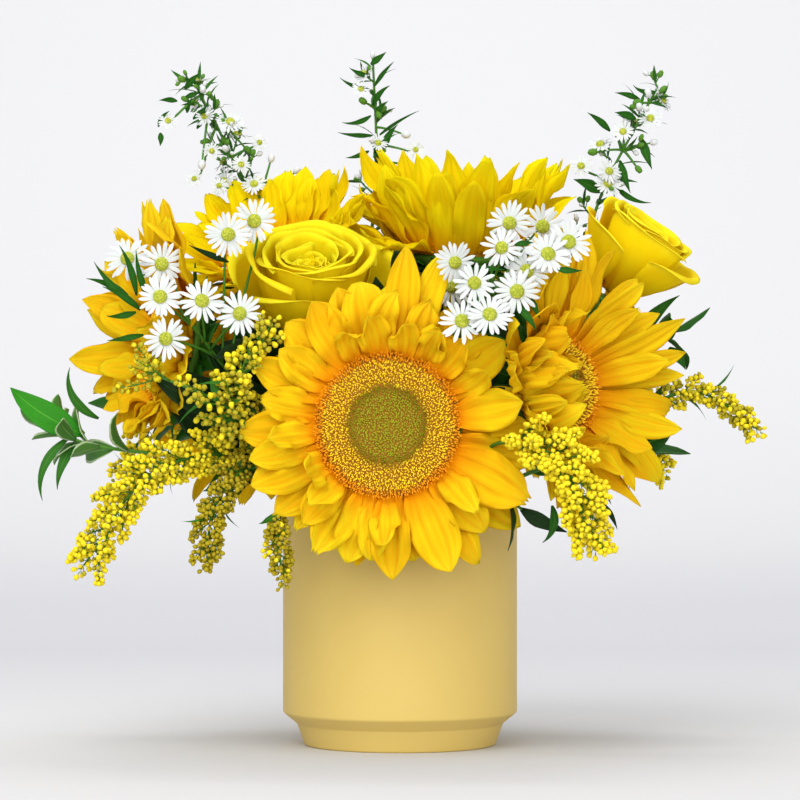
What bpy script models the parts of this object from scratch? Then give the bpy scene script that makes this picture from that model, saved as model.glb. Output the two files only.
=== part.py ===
"""A cut-flower arrangement: sunflowers, roses, asters, goldenrod and greenery in a round stoneware pot.

The pot stands on its flat underside, with the origin at the middle of that face and +Z up, and the
showing side of the arrangement looks along -Y.  A block of florist's foam fills the pot, and every stem
leaves it along a ray from one point inside it, the focus, so that no two stems cross.  Flowers and leaves
are placed in order, and a petal, twig or leaf that would touch another plant is bent away or left out.
"""

import math
import random

import bmesh
import bpy
from mathutils import Matrix, Vector
from mathutils.bvhtree import BVHTree

MM = 0.001
GAP = 0.3 * MM  # between neighbouring solids
CLEAR = 0.45 * MM  # how far a petal, twig or leaf keeps from another plant
WELD = 0.01 * MM
UP = Vector((0.0, 0.0, 1.0))
GOLDEN_ANGLE = math.pi * (3.0 - math.sqrt(5.0))
SMOOTH_UNDER = math.radians(50)

# Pot
POT_RADIUS = 58.5 * MM
POT_HEIGHT = 125 * MM
POT_WALL = 5 * MM
POT_FLOOR = 5.5 * MM
RIM_ROUND = 1.2 * MM
FOOT_RADIUS = 46.5 * MM
FOOT_ROUND = 1.3 * MM
CREASE_RADIUS = 51.5 * MM
CREASE_HEIGHT = 10.8 * MM
SHOULDER_HEIGHT = 16.5 * MM
SHOULDER_ROUND = 1.2 * MM
POT_SIDES = 28

# Foam
FOAM_RADIUS = POT_RADIUS - POT_WALL - 2 * GAP
FOAM_EDGE_HEIGHT = 114 * MM  # its side wall ends a little under the pot's rim
FOAM_BEVEL = (FOAM_RADIUS - 6 * MM, 126 * MM)
FOAM_BROW = (40 * MM, 138 * MM)
FOAM_TOP = 148 * MM
FOAM_TOP_RADIUS = 24 * MM
FOAM_SIDES = 10
FOCUS = Vector((0.0, 0.0, 112 * MM))
STEM_START = 28 * MM  # how far from the focus a stem's cut end is
STEM_EXIT = 60 * MM  # how far from the focus it is when it starts to bend

# Stems, as radii
SUNFLOWER_STEM = 3.6 * MM
ROSE_STEM = 2.6 * MM
SPRAY_STEM = 1.3 * MM
SPRAY_TIP = 0.7 * MM
BEND_STEPS = 4

# Sunflower heads
HEAD_SIDES = 12
DISC_DEPTH = 6.2 * MM
DISC_DOME = 1.8 * MM
DISC_EDGE_DROP = 1 * MM
COLLAR_INNER = 0.5 * MM  # the petals' collar, out from the disc's rim
COLLAR_OUTER = 3.2 * MM
COLLAR_TOP = -3 * MM
CUP_RIM = 2 * MM  # the green cup's rim, out from the disc's
CUP_DEPTH = 12.5 * MM
CUP_WAIST = 0.62  # the cup's radius at its depth, as a share of its rim's
NECK_DEPTH = 19 * MM  # where the cup has narrowed to the stem
HEAD_APPROACH = (34 * MM, 15 * MM)  # where the stem meets the head's axis, and where it ends, behind the rim
BRACTS = 5
BRACT_LENGTH = 17 * MM
BRACT_WIDTH = 7.5 * MM
# The rows of petals: their number, share of the full length, extra lift and their roots' depth
PETAL_ROWS = ((12, 1.0, 0.0, 5.4 * MM), (6, 0.84, math.radians(16), 4.9 * MM))
PETAL_ROOT = 1.4 * MM  # out from the disc's rim
PETAL_SLIM = 0.5  # a petal's width as a share of its full length
PETAL_THICKNESS = 1 * MM

# Roses, as shares of the bloom's radius
ROSE_DEPTH = 1.36
ROSE_HEART = 0.74
ROSE_PETAL = 0.86
ROSE_PETALS = 5
ROSE_LAP = 1.15  # how far each petal laps the next
ROSE_SIDES = 9
ROSE_FLARE = 7 * MM
ROSE_PETAL_THICKNESS = 1.3 * MM
ROSE_APPROACH = (20 * MM, 3 * MM)  # where the stem meets the bloom's axis, and where it ends, under it
HIP_RADIUS = 6.5 * MM
HIP_HEIGHT = 5 * MM  # of its straight side
HIP_DEPTH = 10 * MM
SEPALS = 5
SEPAL_LENGTH = 21 * MM
SEPAL_WIDTH = 6 * MM

# Asters
DAISY_RADIUS = 10.5 * MM
SMALL_DAISY_RADIUS = 8 * MM
DAISY_RAYS = 6
DAISY_NOTCH = 0.62  # how far the gaps between the rays reach in
DAISY_THICKNESS = 0.16
HEAD_STALK = (0.8 * MM, 0.6 * MM)  # radii at the fork and under the head
TWIG_STALK = (0.7 * MM, 0.5 * MM)
TWIG_REACH = 20 * MM
ASTER_LEAF_LENGTH = 15 * MM
ASTER_LEAF_WIDTH = 3 * MM

# Goldenrod
GOLDENROD_LEAF_LENGTH = 24 * MM
GOLDENROD_LEAF_WIDTH = 5 * MM


def v(x, y, z):
    """A point given in millimetres."""
    return Vector((x, y, z)) * MM


def clear_scene():
    for obj in list(bpy.data.objects):
        bpy.data.objects.remove(obj, do_unlink=True)


def finish(name, colour, roughness, metallic=0.0):
    """A plain surface: its colour, roughness and metallic value."""
    material = bpy.data.materials.new(name)
    material.use_nodes = True
    shader = material.node_tree.nodes["Principled BSDF"]
    shader.inputs["Base Color"].default_value = (*colour, 1.0)
    shader.inputs["Roughness"].default_value = roughness
    shader.inputs["Metallic"].default_value = metallic
    return material


# Directions and paths


def frame_towards(direction, origin):
    """A matrix at the origin whose +Z is the direction, with +Y as close to upright as it can be."""
    z_axis = direction.normalized()
    hint = UP if abs(z_axis.z) < 0.98 else Vector((0.0, 1.0, 0.0))
    x_axis = hint.cross(z_axis).normalized()
    turn = Matrix((x_axis, z_axis.cross(x_axis), z_axis)).transposed().to_4x4()
    return Matrix.Translation(origin) @ turn


def side_of(along, angle):
    """The direction square to `along` at this angle round it."""
    return frame_towards(along, Vector()).to_3x3() @ Vector((math.cos(angle), math.sin(angle), 0.0))


def smooth_path(points, steps):
    """Points evenly spread along a Catmull-Rom curve through the given ones."""
    ends = [2 * points[0] - points[1], *points, 2 * points[-1] - points[-2]]
    spans = len(points) - 1
    path = []
    for step in range(steps + 1):
        span = min(int(step / steps * spans), spans - 1)
        t = step / steps * spans - span
        a, b, c, d = ends[span : span + 4]
        path.append(
            0.5 * (2 * b + (c - a) * t + (2 * a - 5 * b + 4 * c - d) * t**2 + (3 * b - a - 3 * c + d) * t**3)
        )
    return path


def stem_path(*targets):
    """A path from the foam through the targets: a straight ray from the focus, then a smooth curve."""
    ray = (targets[0] - FOCUS).normalized()
    return [FOCUS + ray * STEM_START, *smooth_path([FOCUS + ray * STEM_EXIT, *targets], BEND_STEPS)]


def place_on(path, share):
    """The point at a share of the way along a path, and the path's direction there."""
    index = min(int(share * (len(path) - 1)), len(path) - 2)
    start, end = path[index], path[index + 1]
    return start.lerp(end, share * (len(path) - 1) - index), (end - start).normalized()


# Shapes. Each returns a bmesh in world space, grown all round by `grow` for a clearance test.


def face_out(shape):
    """Turns a closed shape's faces outwards."""
    bmesh.ops.recalc_face_normals(shape, faces=shape.faces)
    if shape.calc_volume(signed=True) < 0:
        bmesh.ops.reverse_faces(shape, faces=shape.faces)
    return shape


def evaluated_shape(holder):
    """The object's evaluated mesh as a welded bmesh. The object and its data are removed."""
    bpy.context.scene.collection.objects.link(holder)
    mesh = bpy.data.meshes.new_from_object(holder.evaluated_get(bpy.context.evaluated_depsgraph_get()))
    shape = bmesh.new()
    shape.from_mesh(mesh)
    bmesh.ops.remove_doubles(shape, verts=shape.verts, dist=WELD)
    bpy.data.objects.remove(holder)
    bpy.data.meshes.remove(mesh)
    return face_out(shape)


def blade(matrix, length, width, thickness, bend=0.0, rings=1, grow=0.0):
    """A petal or leaf from the matrix's origin along its +X, face up to +Z, that bends towards +Z."""
    shape = bmesh.new()
    bmesh.ops.create_uvsphere(shape, u_segments=4, v_segments=rings + 1, radius=1.0)
    for vert in shape.verts:
        across, above = vert.co.x, vert.co.y
        share = (vert.co.z + 1) / 2
        turn = bend * share
        along, lift = share, 0.0
        if abs(turn) > 1e-4:
            along, lift = math.sin(turn) / bend, (1 - math.cos(turn)) / bend
        up = above * (thickness / 2 + grow)
        vert.co = matrix @ Vector(
            (
                along * length - math.sin(turn) * up,
                across * (width / 2 + grow),
                lift * length + math.cos(turn) * up,
            )
        )
    return face_out(shape)


def twig(start, end, start_radius, end_radius, sides=3, grow=0.0):
    """A straight tapering twig."""
    shape = bmesh.new()
    bmesh.ops.create_cone(
        shape,
        cap_ends=True,
        segments=sides,
        radius1=start_radius + grow,
        radius2=end_radius + grow,
        depth=(end - start).length,
        matrix=frame_towards(end - start, (start + end) / 2),
    )
    return shape


def spindle(start, end, radius, grow=0.0):
    """A bud, or a side branch's packed buds, from start to end: thick in the middle, with pointed ends."""
    shape = bmesh.new()
    bmesh.ops.create_uvsphere(shape, u_segments=4, v_segments=2, radius=1.0)
    stretch = Matrix.Diagonal((radius + grow, radius + grow, (end - start).length / 2 + grow, 1.0))
    shape.transform(frame_towards(end - start, (start + end) / 2) @ stretch)
    return shape


def daisy(matrix, radius, grow=0.0):
    """An open aster head: a star of ray florets about a raised button, face to the matrix's +Z."""
    shape = bmesh.new()
    bmesh.ops.create_uvsphere(shape, u_segments=2 * DAISY_RAYS, v_segments=2, radius=1.0)
    for vert in shape.verts:
        x, y, z = vert.co
        in_a_ray = round(math.atan2(y, x) / (math.pi / DAISY_RAYS)) % 2
        reach = (radius if in_a_ray else DAISY_NOTCH * radius) + grow
        vert.co = matrix @ Vector((x * reach, y * reach, z * (DAISY_THICKNESS * radius + grow)))
    return shape


def daisy_heel(matrix, radius):
    """The point inside a daisy, just off its middle, where its stalk ends."""
    angle = math.pi / DAISY_RAYS / 2
    return matrix @ (Vector((math.cos(angle), math.sin(angle), -0.1)) * 0.3 * radius)


def tube(path, start_radius, end_radius, bevel_resolution, grow=0.0):
    """A round stem along a path: a bevelled curve with filled caps."""
    curve = bpy.data.curves.new("stem", "CURVE")
    curve.dimensions = "3D"
    curve.bevel_depth = 1.0
    curve.bevel_resolution = bevel_resolution
    curve.use_fill_caps = True
    spline = curve.splines.new("POLY")
    spline.points.add(len(path) - 1)
    for index, (point, place) in enumerate(zip(spline.points, path, strict=True)):
        point.co = (*place, 1.0)
        point.radius = start_radius + (end_radius - start_radius) * index / (len(path) - 1) + grow
    shape = evaluated_shape(bpy.data.objects.new("stem", curve))
    bpy.data.curves.remove(curve)
    return shape


def turned(matrix, profile, sides):
    """A turned shape about the matrix's +Z, from a profile of (radius, height) that runs downwards."""
    points = [(radius, 0.0, height) for radius, height in profile]
    mesh = bpy.data.meshes.new("profile")
    mesh.from_pydata(points, [(index, index + 1) for index in range(len(points) - 1)], [])
    holder = bpy.data.objects.new("profile", mesh)
    screw = holder.modifiers.new("turn", "SCREW")
    screw.steps = screw.render_steps = sides
    screw.use_merge_vertices = True
    screw.merge_threshold = WELD
    shape = evaluated_shape(holder)
    shape.transform(matrix)
    bpy.data.meshes.remove(mesh)
    return shape


def cupped_petal(matrix, radius, foot, lip, span, flare, thickness):
    """A rose petal: a sheet wrapped round the matrix's +Z from the foot's height to the lip's, flaring."""
    sheet = bmesh.new()
    bmesh.ops.create_grid(sheet, x_segments=2, y_segments=2, size=1.0)
    for vert in sheet.verts:
        across, share = vert.co.x, (vert.co.y + 1) / 2
        wide = radius * (0.72 + 0.28 * math.sin(math.pi / 2 * share)) + flare * share**2
        angle = across * span / 2 * (0.75 + 0.25 * share)
        top = lip + (foot - lip) * 0.16 * across**2
        vert.co = Vector((wide * math.cos(angle), wide * math.sin(angle), foot + (top - foot) * share))
    mesh = bpy.data.meshes.new("petal")
    sheet.to_mesh(mesh)
    sheet.free()
    holder = bpy.data.objects.new("petal", mesh)
    shell = holder.modifiers.new("thickness", "SOLIDIFY")
    shell.thickness = thickness
    shell.offset = 0.0
    shape = evaluated_shape(holder)
    shape.transform(matrix)
    bpy.data.meshes.remove(mesh)
    return shape


# Joining, cutting and keeping apart


def mesh_object(name, shape, collection):
    """An object made from a bmesh, which is freed."""
    mesh = bpy.data.meshes.new(name)
    shape.to_mesh(mesh)
    shape.free()
    obj = bpy.data.objects.new(name, mesh)
    collection.objects.link(obj)
    return obj


def apply_boolean(body, operation, shapes):
    """Joins the shapes to the body, or cuts them from it, by one Boolean on a collection."""
    helpers = bpy.data.collections.new(body.name + "_helpers")
    bpy.context.scene.collection.children.link(helpers)
    for shape in shapes:
        mesh_object("helper", shape, helpers)
    boolean = body.modifiers.new("boolean", "BOOLEAN")
    boolean.operation = operation
    boolean.operand_type = "COLLECTION"
    boolean.collection = helpers
    boolean.solver = "MANIFOLD"
    mesh = bpy.data.meshes.new_from_object(body.evaluated_get(bpy.context.evaluated_depsgraph_get()))
    body.modifiers.remove(boolean)
    body.data = mesh
    for helper in list(helpers.objects):
        bpy.data.objects.remove(helper)
    bpy.data.collections.remove(helpers)


def keep_main_shell(mesh):
    """Fills sealed hollows and drops loose scraps: of the mesh's shells, only the largest stays."""
    shape = bmesh.new()
    shape.from_mesh(mesh)
    shells, left = [], set(shape.verts)
    while left:
        front = [left.pop()]
        shell = set(front)
        while front:
            near = {vert for edge in front.pop().link_edges for vert in edge.verts} & left
            left -= near
            shell |= near
            front.extend(near)
        shells.append(shell)
    shells.sort(key=len)
    bmesh.ops.delete(shape, geom=[vert for shell in shells[:-1] for vert in shell], context="VERTS")
    shape.to_mesh(mesh)
    shape.free()


def box_of(shape):
    """The lowest and highest corner of a shape's box."""
    columns = list(zip(*(vert.co for vert in shape.verts), strict=True))
    return [min(column) for column in columns], [max(column) for column in columns]


class Neighbours:
    """The pieces that are already in place, each with its plant's name."""

    def __init__(self):
        self.pieces = []

    def add(self, name, shape):
        self.pieces.append((name, *box_of(shape), BVHTree.FromBMesh(shape)))

    def touch(self, name, shape):
        """Whether the shape touches a piece of any other plant."""
        low, high = box_of(shape)
        tree = BVHTree.FromBMesh(shape)
        return any(
            tree.overlap(other_tree)
            for other, other_low, other_high, other_tree in self.pieces
            if other != name
            and all(high[axis] > other_low[axis] and low[axis] < other_high[axis] for axis in range(3))
        )


class Plant:
    """One node in the making: pieces that one Boolean union joins at the end."""

    def __init__(self, name, material):
        self.name = name
        self.material = material
        self.pieces = []

    def put(self, shape):
        """Adds a piece whatever it touches."""
        in_place.add(self.name, shape)
        self.pieces.append(shape)

    def offer(self, make, *variants):
        """Adds what make(variant, grow) gives for the first variant that touches no other plant."""
        for variant in variants:
            grown = make(variant, CLEAR)
            touches = any(in_place.touch(self.name, piece) for piece in grown)
            for piece in grown:
                piece.free()
            if not touches:
                for piece in make(variant, 0.0):
                    self.put(piece)
                return

    def put_stem(self, path, start_radius, end_radius, bevel_resolution=1):
        """Adds the plant's own stem, and notes its straight foot for the foam's socket."""
        self.put(tube(path, start_radius, end_radius, bevel_resolution))
        feet.append((path[0], start_radius))

    def join(self):
        """The plant as one object."""
        first, *others = self.pieces
        body = mesh_object(self.name, first, arrangement)
        if others:
            apply_boolean(body, "UNION", others)
            keep_main_shell(body.data)
        body.data.materials.clear()
        body.data.materials.append(self.material)
        body.data.shade_smooth()
        body.data.set_sharp_from_angle(angle=SMOOTH_UNDER)
        return body


# Pot and foam


def build_pot():
    """A cylinder with a chamfered foot, turned as one profile from the inside's middle to the underside's."""
    inner = POT_RADIUS - POT_WALL
    inside = [
        (0.0, POT_FLOOR),
        (FOOT_RADIUS - 4 * MM, POT_FLOOR),
        (FOOT_RADIUS - 1 * MM, POT_FLOOR + 3 * MM),
        (inner, SHOULDER_HEIGHT + 2 * MM),
        (inner, POT_HEIGHT - RIM_ROUND),
    ]
    outside = [
        (inner + RIM_ROUND, POT_HEIGHT),
        (POT_RADIUS - RIM_ROUND, POT_HEIGHT),
        (POT_RADIUS, POT_HEIGHT - RIM_ROUND),
        (POT_RADIUS, SHOULDER_HEIGHT),
        (POT_RADIUS - SHOULDER_ROUND, SHOULDER_HEIGHT - SHOULDER_ROUND),
        (CREASE_RADIUS, CREASE_HEIGHT),
        (FOOT_RADIUS + FOOT_ROUND, FOOT_ROUND),
        (FOOT_RADIUS, 0.0),
        (0.0, 0.0),
    ]
    pot = Plant("pot", finish("stoneware", (0.80, 0.62, 0.22), 0.5))
    pot.put(turned(Matrix.Identity(4), inside + outside, POT_SIDES))
    return pot


def build_foam():
    """The foam block, with a square socket for each stem's foot."""
    floor = POT_FLOOR + GAP
    profile = [
        (0.0, FOAM_TOP),
        (FOAM_TOP_RADIUS, FOAM_TOP - 2 * MM),
        FOAM_BROW,
        FOAM_BEVEL,
        (FOAM_RADIUS, FOAM_EDGE_HEIGHT),
        (FOAM_RADIUS, SHOULDER_HEIGHT + 6 * MM),
        (FOOT_RADIUS - 5 * MM, floor),
        (0.0, floor),
    ]
    foam = Plant("foam", finish("foam", (0.05, 0.11, 0.04), 0.9))
    foam.put(turned(Matrix.Identity(4), profile, FOAM_SIDES))
    sockets = []
    for foot, radius in feet:
        ray = (foot - FOCUS).normalized()
        half_diagonal = (radius + GAP) * math.sqrt(2)
        sockets.append(twig(foot - ray * GAP, FOCUS + ray * STEM_EXIT, half_diagonal, half_diagonal, sides=4))
    apply_boolean(foam.join(), "DIFFERENCE", sockets)


# Sunflowers


class Sunflower:
    """A bloom on its stem. The centre is the middle of its disc's rim, and the lift is its petals'.

    The petals on the crowded side, if it has one, stand up by crowd_lift more and curl in by crowd_curl
    times that.
    """

    def __init__(
        self, name, centre, facing, disc, petal, lift, crowd=(0, 0, 0), crowd_lift=0, crowd_curl=2.0, seed=1
    ):
        self.name = "sunflower_" + name
        self.centre = v(*centre)
        self.facing = Vector(facing).normalized()
        self.disc_radius = disc * MM
        self.petal_length = petal * MM
        self.lift = math.radians(lift)
        self.crowd = Vector(crowd)
        self.crowd_lift = math.radians(crowd_lift)
        self.crowd_curl = crowd_curl
        self.random = random.Random(seed)
        self.place = frame_towards(self.facing, self.centre)

    def build_stem(self):
        """The stem, the cup that it swells into under the disc, and the bracts round the cup."""
        plant = Plant(self.name + "_stem", leaf_green)
        back = [self.centre - self.facing * depth for depth in HEAD_APPROACH]
        plant.put_stem(stem_path(*back), SUNFLOWER_STEM, SUNFLOWER_STEM)
        top = -DISC_DEPTH - GAP
        rim = self.disc_radius + CUP_RIM
        cup = [
            (0.0, top),
            (rim, top),
            (CUP_WAIST * rim, -CUP_DEPTH),
            (SUNFLOWER_STEM, -NECK_DEPTH),
            (0.0, -NECK_DEPTH),
        ]
        plant.put(turned(self.place, cup, HEAD_SIDES))
        rise = Matrix.Rotation(-max(0.0, self.lift - 0.55), 4, "Y")
        foot = Matrix.Translation((rim - 4 * MM, 0.0, top - 2.1 * MM))
        for index in range(BRACTS):
            turn = Matrix.Rotation(2 * math.pi * (index + 0.3) / BRACTS, 4, "Z")
            plant.offer(
                lambda length, grow, turn=turn: [
                    blade(self.place @ turn @ foot @ rise, length, BRACT_WIDTH, PETAL_THICKNESS, grow=grow)
                ],
                BRACT_LENGTH,
            )
        return plant

    def build_disc(self):
        """The head's disc: a low dome with a shallow dip in the middle."""
        plant = Plant(self.name + "_disc", disc_brown)
        radius = self.disc_radius
        dome = [
            (0.0, DISC_DOME - 0.4 * MM),
            (0.7 * radius, DISC_DOME),
            (radius, -DISC_EDGE_DROP),
            (radius, -DISC_DEPTH),
            (0.0, -DISC_DEPTH),
        ]
        plant.put(turned(self.place, dome, HEAD_SIDES))
        return plant

    def build_petals(self):
        """A thin collar round the disc with two rows of ray petals rooted in it."""
        plant = Plant(self.name + "_petals", petal_yellow)
        inner, outer = self.disc_radius + COLLAR_INNER, self.disc_radius + COLLAR_OUTER
        collar = [(inner, COLLAR_TOP), (outer, -DISC_DEPTH), (inner, -DISC_DEPTH), (inner, COLLAR_TOP)]
        plant.put(turned(self.place, collar, HEAD_SIDES))
        for count, share, extra, depth in PETAL_ROWS:
            for index in range(count):
                angle = 2 * math.pi * (index + 0.4) / count + self.random.uniform(-0.12, 0.12)
                length = self.petal_length * share * self.random.uniform(0.92, 1.06)
                self.add_petal(plant, angle, length, self.lift + extra, depth)
        return plant

    def add_petal(self, plant, angle, length, lift, depth):
        """One petal, lifted or lowered and in the end shortened until it is clear of other plants."""
        outward = self.place.to_3x3() @ Vector((math.cos(angle), math.sin(angle), 0.0))
        push = max(0.0, outward.dot(self.crowd)) * self.crowd_lift
        lift += push + self.random.uniform(-0.08, 0.08)
        bend = self.random.uniform(-0.1, 0.5) + self.crowd_curl * push
        rings = 2 if push > 0.25 else 1
        half_side = math.pi / HEAD_SIDES
        facet = math.cos(half_side) / math.cos(angle % (2 * half_side) - half_side)
        root = self.place @ Matrix.Rotation(angle, 4, "Z")
        root @= Matrix.Translation(((self.disc_radius + PETAL_ROOT) * facet, 0.0, -depth))

        def petal(way, grow):
            extra_lift, share = way
            matrix = root @ Matrix.Rotation(-(lift + extra_lift), 4, "Y")
            width = PETAL_SLIM * self.petal_length
            return [blade(matrix, length * share, width, PETAL_THICKNESS, bend, rings, grow)]

        lifts = [(extra_lift, 1.0) for extra_lift in (0.0, 0.2, -0.2, 0.4, -0.4)]
        plant.offer(petal, *lifts, (0.65, 0.9), (0.9, 0.8), (1.1, 0.7))


# Roses


class Rose:
    """An open rose on its stem. The centre is the middle of its rim."""

    def __init__(self, name, centre, facing, radius, seed=1):
        self.name = "rose_" + name
        self.centre = v(*centre)
        self.facing = Vector(facing).normalized()
        self.radius = radius * MM
        self.base = -ROSE_DEPTH * self.radius
        self.random = random.Random(seed)
        self.place = frame_towards(self.facing, self.centre)

    def build_stem(self):
        """The stem, the hip under the bloom and its sepals."""
        plant = Plant(self.name + "_stem", leaf_green)
        back = [self.centre + self.facing * (self.base - depth) for depth in ROSE_APPROACH]
        plant.put_stem(stem_path(*back), ROSE_STEM, ROSE_STEM)
        top, bottom = self.base - GAP, self.base - HIP_DEPTH
        hip = [
            (0.0, top),
            (HIP_RADIUS, top),
            (HIP_RADIUS, top - HIP_HEIGHT),
            (ROSE_STEM, bottom),
            (0.0, bottom),
        ]
        plant.put(turned(self.place, hip, ROSE_SIDES))
        foot = Matrix.Translation((4 * MM, 0.0, top - 3.2 * MM))
        for index in range(SEPALS):
            turn = Matrix.Rotation(2 * math.pi * index / SEPALS, 4, "Z")
            plant.offer(
                lambda length, grow, turn=turn: [
                    blade(self.place @ turn @ foot, length, SEPAL_WIDTH, PETAL_THICKNESS, -0.6, grow=grow)
                ],
                SEPAL_LENGTH,
            )
        return plant

    def build_bloom(self):
        """A closed heart with a ring of cupped petals that flare at their lips."""
        plant = Plant(self.name + "_bloom", rose_yellow)
        radius = self.radius
        heart = [
            (0.0, 0.0),
            (0.52 * radius, -0.06 * radius),
            (ROSE_HEART * radius, -0.5 * radius),
            (0.62 * radius, -0.95 * radius),
            (0.18 * radius, self.base),
            (0.0, self.base),
        ]
        plant.put(turned(self.place, heart, ROSE_SIDES))
        span = 2 * math.pi / ROSE_PETALS * ROSE_LAP
        foot, lip = 0.62 * self.base, -0.06 * radius
        for index in range(ROSE_PETALS):
            turn = self.place @ Matrix.Rotation(2 * math.pi * index / ROSE_PETALS, 4, "Z")
            wide = ROSE_PETAL * radius * self.random.uniform(0.94, 1.03)
            plant.put(cupped_petal(turn, wide, foot, lip, span, ROSE_FLARE, ROSE_PETAL_THICKNESS))
        return plant


# Sprays: asters, goldenrod and greenery


class Spray:
    """A thin stem through the targets, with leaves by the golden angle up it."""

    colour = None
    leaf_width = 0.0

    def __init__(self, name, targets, seed):
        self.name = name
        self.path = stem_path(*(v(*target) for target in targets))
        self.random = random.Random(seed)

    def reserve(self):
        """Keeps the stem's place free, before anything is built near it."""
        in_place.add(self.name, tube(self.path, SPRAY_STEM, SPRAY_TIP, 0, CLEAR))

    def start(self):
        plant = Plant(self.name, self.colour)
        plant.put_stem(self.path, SPRAY_STEM, SPRAY_TIP, 0)
        return plant

    def add_leaf(self, plant, share, turn, lean, length, width, bend):
        """A leaf at a share of the stem, turned or shortened until it is clear of other plants."""
        root, along = place_on(self.path, share)
        frame = frame_towards(along, root)

        def leaf(way, grow):
            extra_turn, size = way
            spin = Matrix.Rotation(turn + extra_turn, 4, "Z") @ Matrix.Rotation(-lean, 4, "Y")
            return [blade(frame @ spin, length * size, width, PETAL_THICKNESS, bend, grow=grow)]

        plant.offer(leaf, (0.0, 1.0), (0.7, 1.0), (-0.7, 1.0), (1.5, 0.85), (-1.5, 0.85), (0.0, 0.6))


class Aster(Spray):
    """A leafy spray of small daisies: at set places, or on side twigs by rule."""

    def __init__(self, name, targets, heads=(), facing=(0, -1, 0.25), twigs=0, leaves=6, seed=1):
        super().__init__("aster_" + name, targets, seed)
        self.colour = aster_white if heads else aster_green
        self.heads = [v(*head) for head in heads]
        self.forks = [place_on(self.path, share / 24)[0] for share in range(11, 24)]
        self.facing = Vector(facing).normalized()
        self.twigs = twigs
        self.leaves = leaves

    def build(self):
        plant = self.start()
        for head in self.heads:
            self.add_head(plant, head)
        for index in range(self.twigs):
            self.add_twig(plant, index)
        for index in range(self.leaves):
            share = 0.42 + 0.56 * (index + 0.5) / self.leaves
            turn = index * GOLDEN_ANGLE + 1
            self.add_leaf(plant, share, turn, 0.9, ASTER_LEAF_LENGTH, ASTER_LEAF_WIDTH, 0.4)
        return plant

    def add_head(self, plant, head):
        """A daisy at a set place, on a stalk from the nearest free fork of the stem."""
        tilt = Vector((self.random.uniform(-0.3, 0.3), 0.0, self.random.uniform(-0.3, 0.3)))
        face = (self.facing + tilt).normalized()
        fork = min(self.forks, key=lambda point: (point - head).length)
        self.forks.remove(fork)

        def flower(forward, grow):
            place = frame_towards(face, head + face * forward)
            stalk = twig(fork, daisy_heel(place, DAISY_RADIUS), *HEAD_STALK, grow=grow)
            return [stalk, daisy(place, DAISY_RADIUS, grow)]

        plant.offer(flower, 0.0, 4 * MM, -4 * MM, 8 * MM, -8 * MM)

    def add_twig(self, plant, index):
        """A side twig, shorter up the stem, that ends in a daisy or, every third one, a bud."""
        share = 0.5 + 0.48 * (index + 0.5) / self.twigs
        root, along = place_on(self.path, share)
        side = side_of(along, index * GOLDEN_ANGLE)
        way = (side + along * 0.8).normalized()
        tip = root + way * TWIG_REACH * (1.6 - 1.2 * share)
        face = (side + along + self.facing * 0.8).normalized()

        def flower(radius, grow):
            if index % 3 == 2:
                bud = spindle(tip - way * 2 * MM, tip + way * 4 * MM, 0.25 * radius, grow)
                return [twig(root, tip, *TWIG_STALK, grow=grow), bud]
            place = frame_towards(face, tip)
            stalk = twig(root, daisy_heel(place, radius), *TWIG_STALK, grow=grow)
            return [stalk, daisy(place, radius, grow)]

        plant.offer(flower, SMALL_DAISY_RADIUS, 0.75 * SMALL_DAISY_RADIUS)


class Goldenrod(Spray):
    """A plume: an arching stem whose outer part is packed with side branches of tiny flower heads."""

    def __init__(self, name, targets, plume, branches, reach, thick, leaves=3, seed=1):
        super().__init__("goldenrod_" + name, targets, seed)
        self.colour = goldenrod_yellow
        self.plume = plume
        self.branches = branches
        self.reach = reach * MM
        self.thick = thick * MM
        self.leaves = leaves

    def build(self):
        plant = self.start()
        for index in range(self.branches):
            self.add_branch(plant, index)
        end, along = place_on(self.path, 1.0)
        plant.offer(
            lambda thick, grow: [spindle(end - along * 8 * MM, end + along * 4 * MM, thick, grow)],
            0.8 * self.thick,
        )
        for index in range(self.leaves):
            share = 0.36 + (self.plume - 0.26) * (index + 0.5) / self.leaves
            turn = index * GOLDEN_ANGLE + 2
            self.add_leaf(plant, share, turn, 0.75, GOLDENROD_LEAF_LENGTH, GOLDENROD_LEAF_WIDTH, -0.4)
        return plant

    def add_branch(self, plant, index):
        """A side branch that slants towards the plume's tip and is shorter near it."""
        along_plume = (index + 0.3) / self.branches
        root, along = place_on(self.path, self.plume + (0.97 - self.plume) * along_plume)
        side = side_of(along, index * GOLDEN_ANGLE + self.random.uniform(-0.3, 0.3))
        way = (side * 0.85 + along * 0.75).normalized()
        length = self.reach * (1.0 - 0.25 * along_plume)

        def branch(size, grow):
            thick = self.thick * (0.75 + 0.25 * size)
            return [spindle(root - side * 0.5 * MM, root + way * length * size, thick, grow)]

        plant.offer(branch, 1.0, 0.75, 0.5)


class Greenery(Spray):
    """A leafy sprig with one leaf straight on at its tip."""

    def __init__(self, name, targets, leaves, length, width, first, seed=1):
        super().__init__("greenery_" + name, targets, seed)
        self.colour = leaf_green
        self.leaves = leaves
        self.length = length * MM
        self.width = width * MM
        self.first = first

    def build(self):
        plant = self.start()
        for index in range(self.leaves):
            share = self.first + (1.0 - self.first) * (index + 1) / self.leaves - 0.01
            size = self.random.uniform(0.85, 1.1)
            lean = 1.4 if index == self.leaves - 1 else self.random.uniform(0.75, 1.05)
            turn = index * GOLDEN_ANGLE
            self.add_leaf(plant, share, turn, lean, self.length * size, self.width * size, -0.35)
        return plant


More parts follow.
